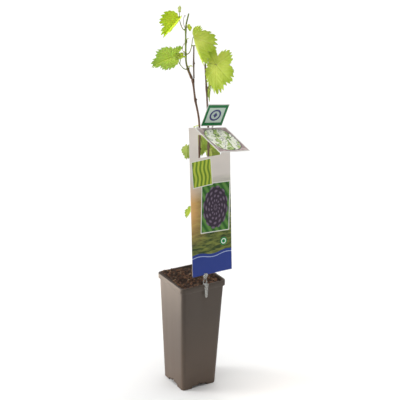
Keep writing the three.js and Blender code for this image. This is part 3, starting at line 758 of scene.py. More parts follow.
FINER_TWIGS = [  # short side twigs, each with one leaflet
    ("shoot_left", 656.5, [twig(5, 250, 62, 5.5, [240, 18, 0], curl=20)]),
    ("shoot_left", 637, [twig(4, 330, 60, 4.5, [330, 40, 0], curl=20)]),
    ("shoot_left", 616, [twig(4.5, 190, 60, 5, [200, 30, 0], curl=20)]),
    ("shoot_left", 591, [twig(5, 320, 55, 6, [318, 10, 0], curl=20)]),
    ("arm_right", 560, [twig(6, 60, 40, 7, [60, -12, 0], curl=15)]),
    ("arm_left", 486, [twig(7, 110, 35, 8, [112, -20, 0], curl=15)]),
    ("arm_right", 452, [twig(7, 310, 30, 7, [300, -10, 10], curl=15)]),
    ("arm_right", 405, [twig(8, 95, 30, 9, [100, -25, 0], curl=15)]),
    ("arm_left", 376, [twig(7, 170, 30, 8, [172, -20, 0], curl=15)]),
    ("arm_right", 345, [twig(6, 100, 40, 6.5, [104, -10, 0], curl=15)]),
]
FINER_SEED = 23
LEAF_DEFAULTS = dict(fold=[10, 10], curl=-8, droop=20, spread=[0.9, 0.9], basal=[1, 1],
                     open=[180, 180])
STALK_SINK = 0.8  # how far under the blade a stalk's end lies
STALK_RADIUS = 0.72
STALK_ROOT = 0.5  # how far into the cane a stalk starts
TIP_ROOT = 0.6  # the same for one that grows from a cane's tip
SPRAY_SEED = 11
STALK_GREEN = ((0.185, 0.275, 0.022), (0.210, 0.120, 0.035))  # green, and its flush
TENDRIL_RED = ((0.150, 0.110, 0.060), (0.160, 0.050, 0.055))
TENDRILS = [  # routes of two tendrils that curl back on themselves, off the shoot
    [(-14.4, 8.9, 656.5), (-17.6, 10.7, 665), (-18.2, 11.1, 674), (-16.6, 10.5, 680.6),
     (-14.6, 11.0, 680.4), (-14.6, 12.7, 678.0), (-16.4, 13.1, 677.4), (-17.0, 11.7, 678.8)],
    [(-14.0, 8.6, 616), (-18.4, 11.0, 621), (-18.8, 11.4, 628), (-16.6, 10.6, 633.5),
     (-14.2, 11.2, 634.0), (-14.2, 13.0, 632.0), (-16.0, 13.4, 631.0), (-16.9, 11.9, 632.4)],
]
TENDRIL_RADIUS = 0.42


def leaf_frame(heading, pitch, roll):
    """Midrib, left side and upper face of a leaf, as rows."""
    midrib, upright = bearing(heading, pitch), bearing(heading, pitch + 90)
    left = np.cross(upright, midrib)
    c, s = np.cos(np.radians(roll)), np.sin(np.radians(roll))
    return np.array([midrib, left * c - upright * s, upright * c + left * s])


def stalk_path(start, outward, end, root):
    """A cubic that leaves its parent square to it and bends to its end, run on straight
    to its root under the blade."""
    reach = np.linalg.norm(end - start)
    second, third = start + outward * reach * 0.3, start + (end - start) * 0.75
    t = np.linspace(0, 1, 40)[:, None]
    bow = ((1 - t) ** 3 * start + 3 * (1 - t) ** 2 * t * second
           + 3 * (1 - t) * t**2 * third + t**3 * end)
    return Path(bow if root is None else np.vstack([bow, root]))


def share_at(path, height):
    """Share of a rising path's length at a height."""
    shares = np.linspace(0, 1, 2001)
    return shares[np.argmin(np.abs(path.at(shares)[:, 2] - height))]


def grow_spray(limb_name, height, twigs, random):
    """The stalks and leaves of one spray, by the same rule for each: from the cane, or
    from a share of the length of an earlier stalk, along a heading and a rise."""
    path, cane = limbs[limb_name]
    share = 1.0 if height is None else share_at(path, height)
    bud, tangent = path.at(share), path.along(share)
    skin = float(cane_radius(cane, path.length, share))
    grown, leaves = [], []
    for twig in twigs:
        direction = bearing(twig["heading"], twig["rise"])
        outward = direction
        if "start" in twig:
            parent, at = twig["start"]
            begin = grown[parent][0].at(at)
            end = begin + direction * twig["length"]
        elif height is None:
            begin, outward = bud - [0, 0, TIP_ROOT], np.array([0, 0, 1.0])
            end = bud + direction * twig["length"]
        else:
            outward = unit(direction - tangent * np.dot(direction, tangent))
            begin = bud + outward * (skin - STALK_ROOT)
            end = bud + direction * twig["length"]
        root = None
        if twig["size"]:
            leaf = {**LEAF_DEFAULTS, "phase": 2 * math.pi * next(random), **twig}
            axes = leaf_frame(*leaf["blade"])
            root = end + axes[0] * leaf["size"] * 0.05 - axes[2] * STALK_SINK
            leaves.append((leaf, axes, end))
        grown.append((stalk_path(begin, outward, end, root), twig.get("radius", STALK_RADIUS)))
    return grown, leaves


def seeded_numbers(seed):
    """Numbers from 0 to 1 that are the same at every run."""
    state = seed
    while True:
        state = (state * 1664525 + 1013904223) % 4294967296
        yield state / 4294967296


def stalk_mesh(path, radius):
    """A round stalk that thins along its length, thick at its foot by a bell curve and
    narrowed once more under the blade. A short one is thinner throughout."""
    radius = radius * min(1, 0.45 + path.length / 40)
    shares = np.linspace(0, 1, max(10, int(path.length / 1.2)))
    foot = 0.9 * np.exp(-((shares * path.length / 1.6) ** 2))
    end = np.clip((shares - 0.82) / 0.18, 0, 1)
    profile = radius * (1.12 - 0.3 * shares + foot) * (1 - 0.55 * end)
    return tube(path, shares, profile[:, None], 10)


def stalk_material(name, green, flush):
    """Green stalk with a red flush that comes and goes along it."""
    return mottled(name, (45.0, 1500.0), green, flush, 0.6, Roughness=0.45,
                   Subsurface_Weight=0.15, Subsurface_Scale=0.001)


random = seeded_numbers(SPRAY_SEED)
sprays = {name: grow_spray(*rule, random) for name, rule in SPRAYS.items()}
random = seeded_numbers(FINER_SEED)
finer = [grow_spray(*rule, random) for rule in FINER_TWIGS]


def tendril_mesh(route):
    """A thin round tendril that tapers to its tip."""
    path = route_path(route)
    shares = np.linspace(0, 1, 70)
    radius = TENDRIL_RADIUS * (1 - 0.55 * shares**2)
    return tube(path, shares, radius[:, None], 8)


tendrils = closed_mesh("tendrils", *joined([tendril_mesh(route) for route in TENDRILS]))
smooth(tendrils, 60)
tendrils.data.materials.append(
    stalk_material("tendril_red", *TENDRIL_RED))
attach(tendrils, "root")
stalks = closed_mesh("leaf_stalks", *joined(
    [stalk_mesh(*stalk) for grown, _ in [*sprays.values(), *finer] for stalk in grown]))
smooth(stalks, 60)
stalks.data.materials.append(
    stalk_material("stalk_green", *STALK_GREEN))
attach(stalks, "root")


# ============================================================ leaves
# Vine leaves: five lobes round a deep notch at the stalk, a saw-toothed margin,
# five main veins that fan out from the stalk, side veins off each, and skin
# that puffs up between them. Young ones are yellow-green and near translucent.

LOBES = [(0, 1, 50), (52, 0.9, 48), (-52, 0.9, 48), (124, 0.76, 48), (-124, 0.76, 48)]
SINUS = 0.1
BIG_LEAF = 25.0
TOOTH = 0.19
TOOTH_FOOT = 0.74
RIPPLE = 0.03  # of the size, five waves round the margin
FINE_RIPPLE = 0.02  # eleven waves
VEIN_SLANT = 0.9  # how far a side vein runs along its lobe for each step away
VEIN_STEP = 0.15  # between side veins, as a share of the size
VEIN_WIDTH = 0.022
VEIN_SINK = 0.009
PUFF = 0.013
LEAF_THICKNESS = 0.3
UNDERSIDE = (0.34, 0.40, 0.13)
TINTS = {  # name: blade, deeper blade (in patches, and towards the edge round a painted sheen in the middle), vein
    "downy": ((0.800, 0.840, 0.420), (0.640, 0.720, 0.240), (0.850, 0.880, 0.550)),
    "tender": ((0.590, 0.700, 0.045), (0.430, 0.580, 0.014), (0.680, 0.780, 0.170)),
    "fresh": ((0.600, 0.690, 0.110), (0.340, 0.460, 0.022), (0.670, 0.740, 0.240)),
    "full": ((0.350, 0.440, 0.030), (0.180, 0.275, 0.010), (0.450, 0.530, 0.110)),
}
DOWNY_SIZE = 8.5  # leaves shorter than this are still folded and downy
SPRAY_TINTS = {
    "spray_crest": "tender", "spray_bud": "tender", "spray_face": "fresh",
    "spray_right": "fresh",
}


def leaf_outline(angle, leaf):
    """Radius of the outline at angles from the midrib, as a share of the size: the
    longest lobe there, where a lobe is a cosine round its own direction. Past the leaf's
    own angle on either side lies the opening where the stalk comes in."""
    reach = [np.full_like(angle, SINUS)]
    for middle, length, half in LOBES:
        turn = np.abs(angle - middle) / half * 60
        own = leaf["basal"][0 if middle > 0 else 1] if abs(middle) > 90 else 1
        reach.append(np.where(turn < 90, own * length * np.cos(np.radians(turn)), 0))
    shut = np.abs(angle) > np.where(angle > 0, *leaf["open"])
    return np.where(shut, SINUS, np.max(reach, axis=0))


def leaf_bend(x, y, height, leaf):
    """Place of a point of the flat leaf once it is folded along the midrib, curled
    across it, rippled near the margin and drooped to its tip."""
    size, side = leaf["size"], np.sign(y)
    left = y > 0
    across = np.abs(y) * np.where(left, *leaf["spread"]) / size
    first = np.radians(np.where(left, *leaf["fold"]))
    turning = math.radians(leaf["curl"]) or 1e-6
    slope = first + turning * across
    distance = np.hypot(x, y) / size
    angle = np.arctan2(y, x)
    ripple = RIPPLE * size * distance**2 * np.sin(5 * angle + leaf["phase"])
    ripple += FINE_RIPPLE * size * distance**3 * np.sin(11 * angle + 2 * leaf["phase"])
    out = size * (np.sin(slope) - np.sin(first)) / turning - height * np.sin(slope)
    lift = (-size * (np.cos(slope) - np.cos(first)) / turning
            + np.where(side == 0, height, height * np.cos(slope)) + ripple)
    drooping = math.radians(leaf["droop"]) or 1e-6
    turn = drooping * x / size
    return np.stack([size * np.sin(turn) / drooping + lift * np.sin(turn), side * out,
                     -size * (1 - np.cos(turn)) / drooping + lift * np.cos(turn)], -1)


def nearest_lobe(angle):
    """Direction of the lobe nearest each angle, both in degrees."""
    middles = np.array([lobe[0] for lobe in LOBES])
    return middles[np.argmin(np.abs(angle[..., None] - middles), -1)]


def leaf_relief(x, y, size):
    """Height of the blade's own relief: sunk along the main veins, and puffed up between
    the side veins that leave them at a slant."""
    angle = np.degrees(np.arctan2(y, x))
    radius = np.hypot(x, y)
    away = np.radians(angle - nearest_lobe(angle))
    along, beside = radius * np.cos(away), np.abs(radius * np.sin(away))
    vein = np.exp(-((beside / (VEIN_WIDTH * size)) ** 2))
    stripe = np.abs(np.sin(np.pi * (along - VEIN_SLANT * beside) / (VEIN_STEP * size)))
    puff = stripe * np.clip(beside / (0.05 * size), 0, 1) * np.clip(radius / (0.3 * size), 0, 1)
    return size * (PUFF * puff - VEIN_SINK * vein)


def tooth_bite(angle, teeth, phase):
    """How deep the margin is cut at each angle, from 0 at a tooth's tip to 1 in the gap.
    Teeth slant towards the tip of their lobe, and every tooth has its own depth."""
    place = (angle + 180) / 360 * teeth
    number, step = np.floor(place), place % 1
    tip = 0.5 + 0.17 * np.sign(nearest_lobe(angle) - angle)
    rise = np.where(step < tip, step / tip, (1 - step) / (1 - tip))
    depth = 0.75 + 0.35 * np.sin(number * 2.4 + phase)
    return depth * (1 - rise**0.85)


def leaf_mesh(leaf, axes, base):
    """Two sheets of rays by rings, from the stalk out to the toothed margin, a leaf's
    thickness apart and joined round the edge. Returns points, faces, the flat leaf's own
    coordinates and which points are on the underside."""
    size = leaf["size"]
    big = size > BIG_LEAF
    teeth, steps, rings = (33, 6, 20) if big else (21, 4, 9)
    rays = teeth * steps
    angle = np.arange(rays) * 360 / rays - 180
    share = np.linspace(0, 1, rings + 1)[1:, None] ** 0.85
    edge = np.clip((share - TOOTH_FOOT) / (1 - TOOTH_FOOT), 0, 1) ** 1.6
    bite = 1 - TOOTH * edge * tooth_bite(angle, teeth, leaf["phase"])
    reach = size * share * leaf_outline(angle, leaf) * bite
    x = np.concatenate([[0], (reach * np.cos(np.radians(angle))).ravel()])
    y = np.concatenate([[0], (reach * np.sin(np.radians(angle))).ravel()])
    relief = leaf_relief(x, y, size)
    half = min(LEAF_THICKNESS, 0.01 * size) / 2
    sheets = [leaf_bend(x, y, relief + offset, leaf) @ axes + base for offset in (half, -half)]
    count = len(x)
    faces = []
    for first, flip in ((0, False), (count, True)):
        sheet = grid_faces(rings, rays, first + 1)
        sheet += [(first, first + 1 + ray, first + 1 + (ray + 1) % rays) for ray in range(rays)]
        faces += [face[::-1] for face in sheet] if flip else sheet
    rim = 1 + (rings - 1) * rays + np.arange(rays)
    beside = 1 + (rings - 1) * rays + (np.arange(rays) + 1) % rays
    faces += np.stack([rim, rim + count, beside + count, beside], -1).tolist()
    flat = np.tile(np.stack([x, y], -1) / size, (2, 1))
    return np.vstack(sheets), faces, flat, np.repeat([0.0, 1.0], count)


def leaf_skin_nodes(tree, given):
    """Veins, painted sheen falloff and puffed skin of the flat leaf. For each of three
    directions (the leaf is folded in half, left on right), a main vein along it that thins
    outwards, and side veins as slanting stripes on both sides, each kept to the lobe nearest
    its direction.
    The painted sheen falloff grows from 0 well inside to its most near the margin, so the
    middle stays paler as a painted sheen, and the skin is raised in the cells of a fine net and
    sunk along the veins."""
    flat = given["Flat leaf"]
    x, y, _ = flat.parts()
    y = abs(y)
    angle = y.math("ARCTAN2", x)
    lobes = []
    for low, middle, high in ((-10, 0, 26), (26, 52, 88), (88, 124, 190)):
        c, s = math.cos(math.radians(middle)), math.sin(math.radians(middle))
        along, beside = x * c + y * s, abs(x * s - y * c)
        width = (along * -0.009 + 0.012).math("MAXIMUM", 0.003)
        main = (1.0 - (beside / width).math("SMOOTH_MIN", 1.0, 0.1)).math("MAXIMUM", 0.0)
        lane = (beside * -VEIN_SLANT + along).math("PINGPONG", VEIN_STEP / 2)
        side = (1.0 - (lane / 0.0075).math("MINIMUM", 1.0)) * 0.62
        inside = (angle > math.radians(low)) * (angle < math.radians(high))
        lobes.append(main.math("MAXIMUM", side) * inside)
    vein = (lobes[0] + lobes[1] + lobes[2]).math("MINIMUM", 1.0)
    away = add(tree, "VectorMath", {0: flat}, "Value", operation="LENGTH")
    net = add(tree, "TexVoronoi", {"Vector": flat, "Scale": 26.0}, "Distance",
              feature="DISTANCE_TO_EDGE")
    # The share of deeper green grows towards the margin: the paler middle is a painted sheen
    return {"Vein": vein, "Painted_sheen_falloff": away.ramp(0.30, 0.90, 0.0, 0.85),
            "Skin": vein * -0.8 + (net * 5.0).math("MINIMUM", 1.0)}


LEAF_SKIN = group_of("leaf_skin", {"Flat leaf": None}, leaf_skin_nodes)


def leaf_material(name, blade, deeper, paler):
    """Soft leaf skin: the blade's green deepens in patches and towards the edge, round a
    painted sheen that leaves the middle paler; veins are paler, and the underside is duller and
    greyer."""
    material, tree = shader(name, Specular_IOR_Level=0.3, Subsurface_Weight=0.25,
                            Subsurface_Scale=0.002, Subsurface_Radius=(0.6, 1.0, 0.25))
    flat = add(tree, "UVMap", uv_map="flat_leaf").mapped(Location=(-2, -2, 0), Scale=(4, 4, 1))
    vein, rim, skin = placed(tree, LEAF_SKIN, flat)
    broad, _ = placed(tree, MOTTLE, 60.0, 1200.0)
    # Painted sheen: the blade stays paler in its middle and deepens towards the margin
    green = mix(vein * 0.75, mix(broad * 0.42 + rim, blade, deeper), paler)
    under = add(tree, "Attribute", output="Fac", attribute_name="underside")
    colour = mix(under, green, mix(0.65, green, UNDERSIDE))
    return finished(material, colour, under.ramp(0.0, 1.0, 0.5, 0.75), (skin, 0.45, 0.0004))


def flat_layer(piece, name, places):
    """A UV layer that gives each corner its vertex's place on the flat shape."""
    corner = np.empty(len(piece.data.loops), np.int32)
    piece.data.loops.foreach_get("vertex_index", corner)
    layer = piece.data.uv_layers.new(name=name)
    layer.data.foreach_set("uv", places[corner].astype(np.float32).ravel())


masses = {tint: [] for tint in TINTS}
for spray_name, (_, leaves) in sprays.items():
    for leaf in leaves:
        tint = SPRAY_TINTS.get(spray_name, "full")
        masses["downy" if leaf[0]["size"] < DOWNY_SIZE else tint].append(leaf_mesh(*leaf))
masses["tender"] += [leaf_mesh(*leaf) for _, leaves in finer for leaf in leaves]
for tint, built in masses.items():
    blades = closed_mesh(f"leaves_{tint}", *joined([part[:2] for part in built]))
    smooth(blades, 75)
    flat_layer(blades, "flat_leaf", np.vstack([part[2] for part in built]) * 0.25 + 0.5)
    float_attribute(blades, "underside", np.concatenate([part[3] for part in built]))
    blades.data.materials.append(leaf_material(f"leaf_{tint}", *TINTS[tint]))
    replaced = [name for name in SPRAYS if SPRAY_TINTS.get(name, "full") == tint]
    if replaced:
        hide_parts(*replaced)
    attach(blades, "root")


# ============================================================ label
# A tall sheet of white polypropylene with a window cut near its top, stood on edge in
# the clip. Its front is printed with plain panels of colour and carries no words.

LABEL_WIDTH = 82.0
LABEL_THICKNESS = 0.8
LABEL_MIDDLE = 17.8
LABEL_Y = -42.0
LABEL_FOOT = 228.0
LABEL_LEAN = 4.7
LABEL_EDGE = [(0, 0), (82, 0), (82, 252), (74, 259.6), (0, 269)]
WINDOW_EDGE = [(17.6, 213.7), (64, 213.7), (64, 243), (17.6, 254.8)]
SHEET_CORNER = 1.2
CORNER_POINTS = 5
SHEET_BEVEL = 0.18
LABEL_WHITE = (0.69, 0.645, 0.60)
# Back and edges of the same white sheet, painted darker than its front: painted shade where the
# key light falls on the back
LABEL_BACK_SHADED = (0.50, 0.48, 0.44)
PANEL_WHITE = (0.78, 0.77, 0.74)
BAND_BLUE = (0.020, 0.045, 0.250)
BAND_TOP = 39.0
BAND_LINE = (0.42, 0.52, 0.74)
FIELD_GREENS = ((0.030, 0.055, 0.014), (0.200, 0.230, 0.045))
FIELD_GLOW = (0.720, 0.420, 0.150)
PLUM_PANEL = dict(middle=(50, 121), half=(29.5, 45), turn=-2.5, margin=1.5)
PLUMS = ((0.034, 0.022, 0.040), (0.200, 0.150, 0.215))
WEAVE_GREENS = ((0.022, 0.110, 0.016), (0.110, 0.270, 0.050))
LEAFY_PANEL = dict(middle=(24, 186), half=(20, 24), turn=3, margin=1.3)
LEAFY_GREENS = ((0.120, 0.235, 0.018), (0.470, 0.560, 0.055))
DISC_MIDDLE = (0.655, 0.560, 0)  # in the print's own coordinates
DISC_GREEN = (0.0, 0.245, 0.06)
DISC_RING = (0.75, 0.80, 0.74)
PRINT_SCALE = 0.01  # the print's own coordinates are hundredths of its millimetres


def eased(corners, radius):
    """An outline with each corner cut to a short curve of a few points, as the quadratic
    between the two points a radius away from it."""
    corners = np.asarray(corners, float)
    before = corners + unit(np.roll(corners, 1, 0) - corners) * radius
    after = corners + unit(np.roll(corners, -1, 0) - corners) * radius
    t = np.linspace(0, 1, CORNER_POINTS)[None, :, None]
    curve = ((1 - t) ** 2 * before[:, None] + 2 * t * (1 - t) * corners[:, None]
             + t**2 * after[:, None])
    return curve.reshape(-1, 2)


def sheet_piece(name, outline, hole, thickness, origin, across, up, front):
    """A flat sheet in the plane of across and up, its front towards front: two copies of
    the outline, joined round it, and round the hole if it has one. The face between hole
    and outline is split at the corners, and the hole's third side faces two of the
    outline's five."""
    edge = eased(outline, SHEET_CORNER)
    parts = [edge]
    if hole is not None:
        parts.append(eased(hole, SHEET_CORNER))
    flat = np.vstack(parts)
    count, outer = len(flat), len(edge)
    place = lambda depth: origin + flat[:, :1] * across + flat[:, 1:] * up + depth * front
    points = np.vstack([place(thickness / 2), place(-thickness / 2)])
    loop = np.arange(outer)
    walls = [(i, i + count, (i + 1) % outer + count, (i + 1) % outer) for i in loop]
    if hole is None:
        fronts = [tuple(loop)]
    else:
        inner = np.arange(outer, count)
        marks = [corner * CORNER_POINTS for corner in (0, 1, 2, 4, 5)]
        own = [corner * CORNER_POINTS for corner in range(5)]
        fronts = []
        for low, high, first, last in zip(marks, marks[1:], own, own[1:]):
            far = [i % outer for i in range(low, high + 1)]
            near = [outer + i % len(inner) for i in range(first, last + 1)]
            fronts.append((*far, *near[::-1]))
        walls += [(outer + (i + 1) % len(inner), outer + (i + 1) % len(inner) + count,
                   outer + i + count, outer + i) for i in range(len(inner))]
    backs = [tuple(index + count for index in face[::-1]) for face in fronts]
    piece = closed_mesh(name, points, [*fronts, *walls, *backs])
    piece.data.polygons.foreach_set(
        "material_index", [0] * len(fronts) + [1] * (len(walls) + len(backs)))
    flat_layer(piece, "print", np.tile(flat, (2, 1)) * PRINT_SCALE)
    bevel = piece.modifiers.new("eased_edge", "BEVEL")
    bevel.width, bevel.segments = SHEET_BEVEL * MM, 2
    bevel.limit_method, bevel.angle_limit = "ANGLE", math.radians(50)
    return piece


def panel_nodes(tree, given):
    """A turned rectangle of the print. Its local place runs from -1 to 1 between its
    sides; Inside is 1 within it, and Border is 1 within a margin round it."""
    x, y, _ = given["Print"].parts()
    x, y = x - given["Middle x"], y - given["Middle y"]
    c, s = given["Turn"].math("COSINE"), given["Turn"].math("SINE")
    across, above = x * c + y * s, y * c - x * s
    width, height = given["Half width"], given["Half height"]
    depth = (width - abs(across)).math("MINIMUM", height - abs(above))
    inside = depth > 0.0
    return {"Inside": inside, "Border": inside * (depth < given["Margin"]),
            "Across": across / width, "Above": above / height}


PANEL = group_of("print_panel", {
    "Print": None, "Middle x": 0.0, "Middle y": 0.0, "Half width": 0.1, "Half height": 0.1,
    "Turn": 0.0, "Margin": 0.01}, panel_nodes)


def panel(place, middle, half, turn=0.0, margin=0.0):
    """A panel by its middle, half sizes and margin in millimetres, and turn in degrees."""
    sizes = [size * PRINT_SCALE for size in (*middle, *half)]
    return placed(place.tree, PANEL, place, *sizes, math.radians(turn), margin * PRINT_SCALE)


def printed(name, roughness):
    """A material for a printed face, and the place on the flat print."""
    material, tree = shader(name, Roughness=roughness, Specular_IOR_Level=0.2)
    return material, add(tree, "UVMap", uv_map="print")


def label_print():
    """The label's front, from the sheet up: a green field at the foot that warms to an
    amber glow on the left and fades out above, a plum panel and a yellow-green one with
    white margins, a blue band with a wavy top, and a green disc."""
    material, place = printed("label_print", 0.30)
    x, y, _ = place.parts()
    cloud = place.mapped(Rotation=(0, 0, 0.35), Scale=(5, 17, 1)).noise(1.0, 4.0, 0.6)
    field = mix(cloud.ramp(0.40, 0.62), *FIELD_GREENS)
    field = mix(x.ramp(0.34, 0.02) * y.ramp(0.55, 1.15), field, FIELD_GLOW)
    colour = mix((y + cloud * 0.10).ramp(1.40, 1.85), field, LABEL_WHITE)

    inside, border, across, above = panel(place, **PLUM_PANEL)
    reach = (across * across + above * above).math("SQRT")
    spin = above.math("ARCTAN2", across)
    petals = abs((reach * 5.0 + spin * 6.0).math("COSINE"))
    shine = petals * abs((reach * 17.0).math("SINE"))
    plum = mix(shine.ramp(0.45, 1.0), *PLUMS)
    weave = ((across + above) * 14.0).math("SINE")
    ground = mix(weave.ramp(-0.9, 0.9), *WEAVE_GREENS)
    colour = mix(inside, colour, mix(reach < petals * 0.07 + 0.80, ground, plum))
    colour = mix(border, colour, PANEL_WHITE)

    inside, border, across, above = panel(place, **LEAFY_PANEL)
    stripe = (across * 16.0 + (above * 5.0).math("SINE")).math("SINE")
    leafy = mix(stripe.ramp(-0.8, 0.8), *LEAFY_GREENS)
    colour = mix(border, mix(inside, colour, leafy), PANEL_WHITE)

    ripple = (x * 11.0).math("SINE") * 0.022
    colour = mix(y < ripple + BAND_TOP * PRINT_SCALE, colour, BAND_BLUE)
    line = (y - ripple).math("COMPARE", 0.335, 0.006)
    colour = mix(line, colour, BAND_LINE)

    away = add(place.tree, "VectorMath", {0: place, 1: DISC_MIDDLE}, "Value",
               operation="DISTANCE")
    colour = mix(away < 0.072, colour, DISC_GREEN)
    colour = mix(away.math("COMPARE", 0.042, 0.009), colour, DISC_RING)
    return finished(material, colour)


def plain_sheet(name, colour, roughness):
    """Unprinted sheet with the faint mottle of rolled plastic."""
    darker = [channel * 0.9 for channel in colour]
    return mottled(name, (30.0, 700.0), colour, darker, Roughness=roughness)


lean = math.radians(LABEL_LEAN)
label_up = np.array([0, math.sin(lean), math.cos(lean)])
label_front = np.array([0, -label_up[2], label_up[1]])
label_foot = np.array([LABEL_MIDDLE - LABEL_WIDTH / 2, LABEL_Y, LABEL_FOOT])
label_foot -= label_front * (LABEL_THICKNESS / 2) * (1 - label_up[2])
label = sheet_piece("label_sheet", LABEL_EDGE, WINDOW_EDGE, LABEL_THICKNESS, label_foot,
                    np.array([1.0, 0, 0]), label_up, label_front)
label.data.materials.append(label_print())
# The back and edges carry painted shade: the white sheet is painted darker there than on its
# front
label.data.materials.append(plain_sheet("label_back_painted_shade", LABEL_BACK_SHADED, 0.38))
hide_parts("label")
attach(label, "root")


# ============================================================ tag
# A folded tag of coated board that hangs over the label's top: a wide flap leans out
# over the front, and a small card stands up from the fold on a narrow neck.

TAG_CORNER = (-23.4, -41.0, 500.7)
TAG_HEADING = 14.6
TAG_DIP = 9.6
TAG_THICKNESS = 0.6
FLAP = [(0, -67.7), (77, -67.7), (77, 0.6), (0, 0.6)]
FLAP_TILT = -24.0
CARD = [(40, 0), (44, 0), (44, 3.6), (64.7, 3.6), (64.7, 44.6), (11.7, 44.6), (11.7, 3.6),
        (40, 3.6)]
CARD_TILT = -105.8
FLAP_EDGE = dict(middle=(38.5, -33.5), half=(38.5, 34.1), margin=2.2)
FLAP_MAUVES = ((0.360, 0.265, 0.260), (0.580, 0.490, 0.480))
LOZENGE_GREENS = ((0.900, 0.910, 0.790), (0.420, 0.560, 0.170))
LOZENGE_STREAK = (0.070, 0.110, 0.090)
LOZENGE_EDGE = (0.10, 0.10, 0.12)
CARD_BORDER = dict(middle=(38.2, 24.1), half=(25.3, 19.3), margin=5.4)
CARD_DIAMOND = dict(middle=(38.2, 24.1), half=(3.6, 3.6), turn=45)
CARD_MINT = (0.560, 0.680, 0.600)
CARD_GREEN = (0.004, 0.170, 0.042)
RING_BLUE = (0.045, 0.052, 0.180)
RING_INSIDE = (0.50, 0.60, 0.56)
BOARD_WHITE = (0.72, 0.71, 0.68)


def tag_leaf(name, outline, tilt):
    """One leaf of the tag, turned by its tilt about the fold."""
    fold, level = bearing(TAG_HEADING, -TAG_DIP), bearing(TAG_HEADING + 90, 0)
    lift = np.cross(fold, level)
    out = level * math.cos(math.radians(tilt)) - lift * math.sin(math.radians(tilt))
    face = np.cross(fold, out)
    return sheet_piece(name, outline, None, TAG_THICKNESS, np.array(TAG_CORNER), fold,
                       out, face)


def flap_print():
    """Mauve-grey with a white edge, and one large pale green lozenge with round corners
    and slanting streaks."""
    material, place = printed("flap_print", 0.34)
    _, border, across, above = panel(place, **FLAP_EDGE)
    cloud = place.noise(11.0, 1.0)
    colour = mix(cloud.ramp(0.4, 0.65), *FLAP_MAUVES)
    reach = abs(across) ** 2.6 + abs(above) ** 2.6
    slant = across * 9.0 + (above * -5.0 + cloud * 9.0)
    lozenge = mix(slant.math("SINE").ramp(-0.1, 0.9), *LOZENGE_GREENS)
    lozenge = mix((slant * 1.7).math("SINE").ramp(0.80, 0.99), lozenge, LOZENGE_STREAK)
    colour = mix(reach < 0.74, colour, LOZENGE_EDGE)
    colour = mix(reach < 0.66, colour, lozenge)
    return finished(material, mix(border, colour, BOARD_WHITE))


def card_print():
    """A deep green border inside a white edge, a mint field, and a dark blue ring round
    a small diamond."""
    material, place = printed("card_print", 0.34)
    inside, border, across, above = panel(place, **CARD_BORDER)
    colour = mix(border, mix(inside, BOARD_WHITE, CARD_MINT), CARD_GREEN)
    away = across * across + above * above
    colour = mix(away < 0.30, colour, RING_BLUE)
    colour = mix(away < 0.15, colour, RING_INSIDE)
    diamond = panel(place, **CARD_DIAMOND)[0]
    return finished(material, mix(diamond, colour, RING_BLUE))


board = plain_sheet("board_white", BOARD_WHITE, 0.5)
flap = tag_leaf("tag_flap", FLAP, FLAP_TILT)
flap.data.materials.append(flap_print())
card = tag_leaf("tag_card", CARD, CARD_TILT)
card.data.materials.append(card_print())
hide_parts("tag")
for leaf in (flap, card):
    leaf.data.materials.append(board)
    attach(leaf, "root")


# ============================================================ clip
# A spring clip of milky clear plastic, moulded in one: a hook over the pot's rim with a
# long tongue outside, and two bowed arms that close a pair of jaws on the label.

CLIP_X = 3.0
CLIP_WIDTH = 8.0
CLIP_THICKNESS = 1.3
CLIP_GAP = 0.3
TONGUE_FOOT = 186.0
HOOK_INSET = 4.6
HOOK_DEPTH = 5.0
JAW_FOOT = 223.0
JAW_TOP = 231.0
JAW_LIP = 1.1


def strip_mesh(route, widths, thickness):
    """A flat strip along a route in a plane of constant x, given as (y, z): corners are
    rounded by averaging, and the section is a round-edged rectangle of sixteen points."""
    stops = np.asarray(route, float)
    t = np.linspace(0, len(stops) - 1, (len(stops) - 1) * 8 + 1)
    line = np.stack([np.interp(t, np.arange(len(stops)), axis) for axis in stops.T], -1)
    for _ in range(3):
        line[1:-1] = line[:-2] / 4 + line[1:-1] / 2 + line[2:] / 4
    along = unit(np.gradient(line, axis=0))
    beside = np.stack([along[:, 1], -along[:, 0]], -1)
    wide = np.interp(t, np.arange(len(stops)), widths)
    turn = np.radians(np.arange(16) / 16 * 360 + 11.25)
    boxed = lambda wave: np.sign(wave) * np.abs(wave) ** 0.35
    x = CLIP_X + wide[:, None] / 2 * boxed(np.cos(turn))
    off = thickness / 2 * boxed(np.sin(turn))
    y = line[:, :1] + beside[:, :1] * off
    z = line[:, 1:] + beside[:, 1:] * off
    return lofted(np.stack([x, y, z], -1))


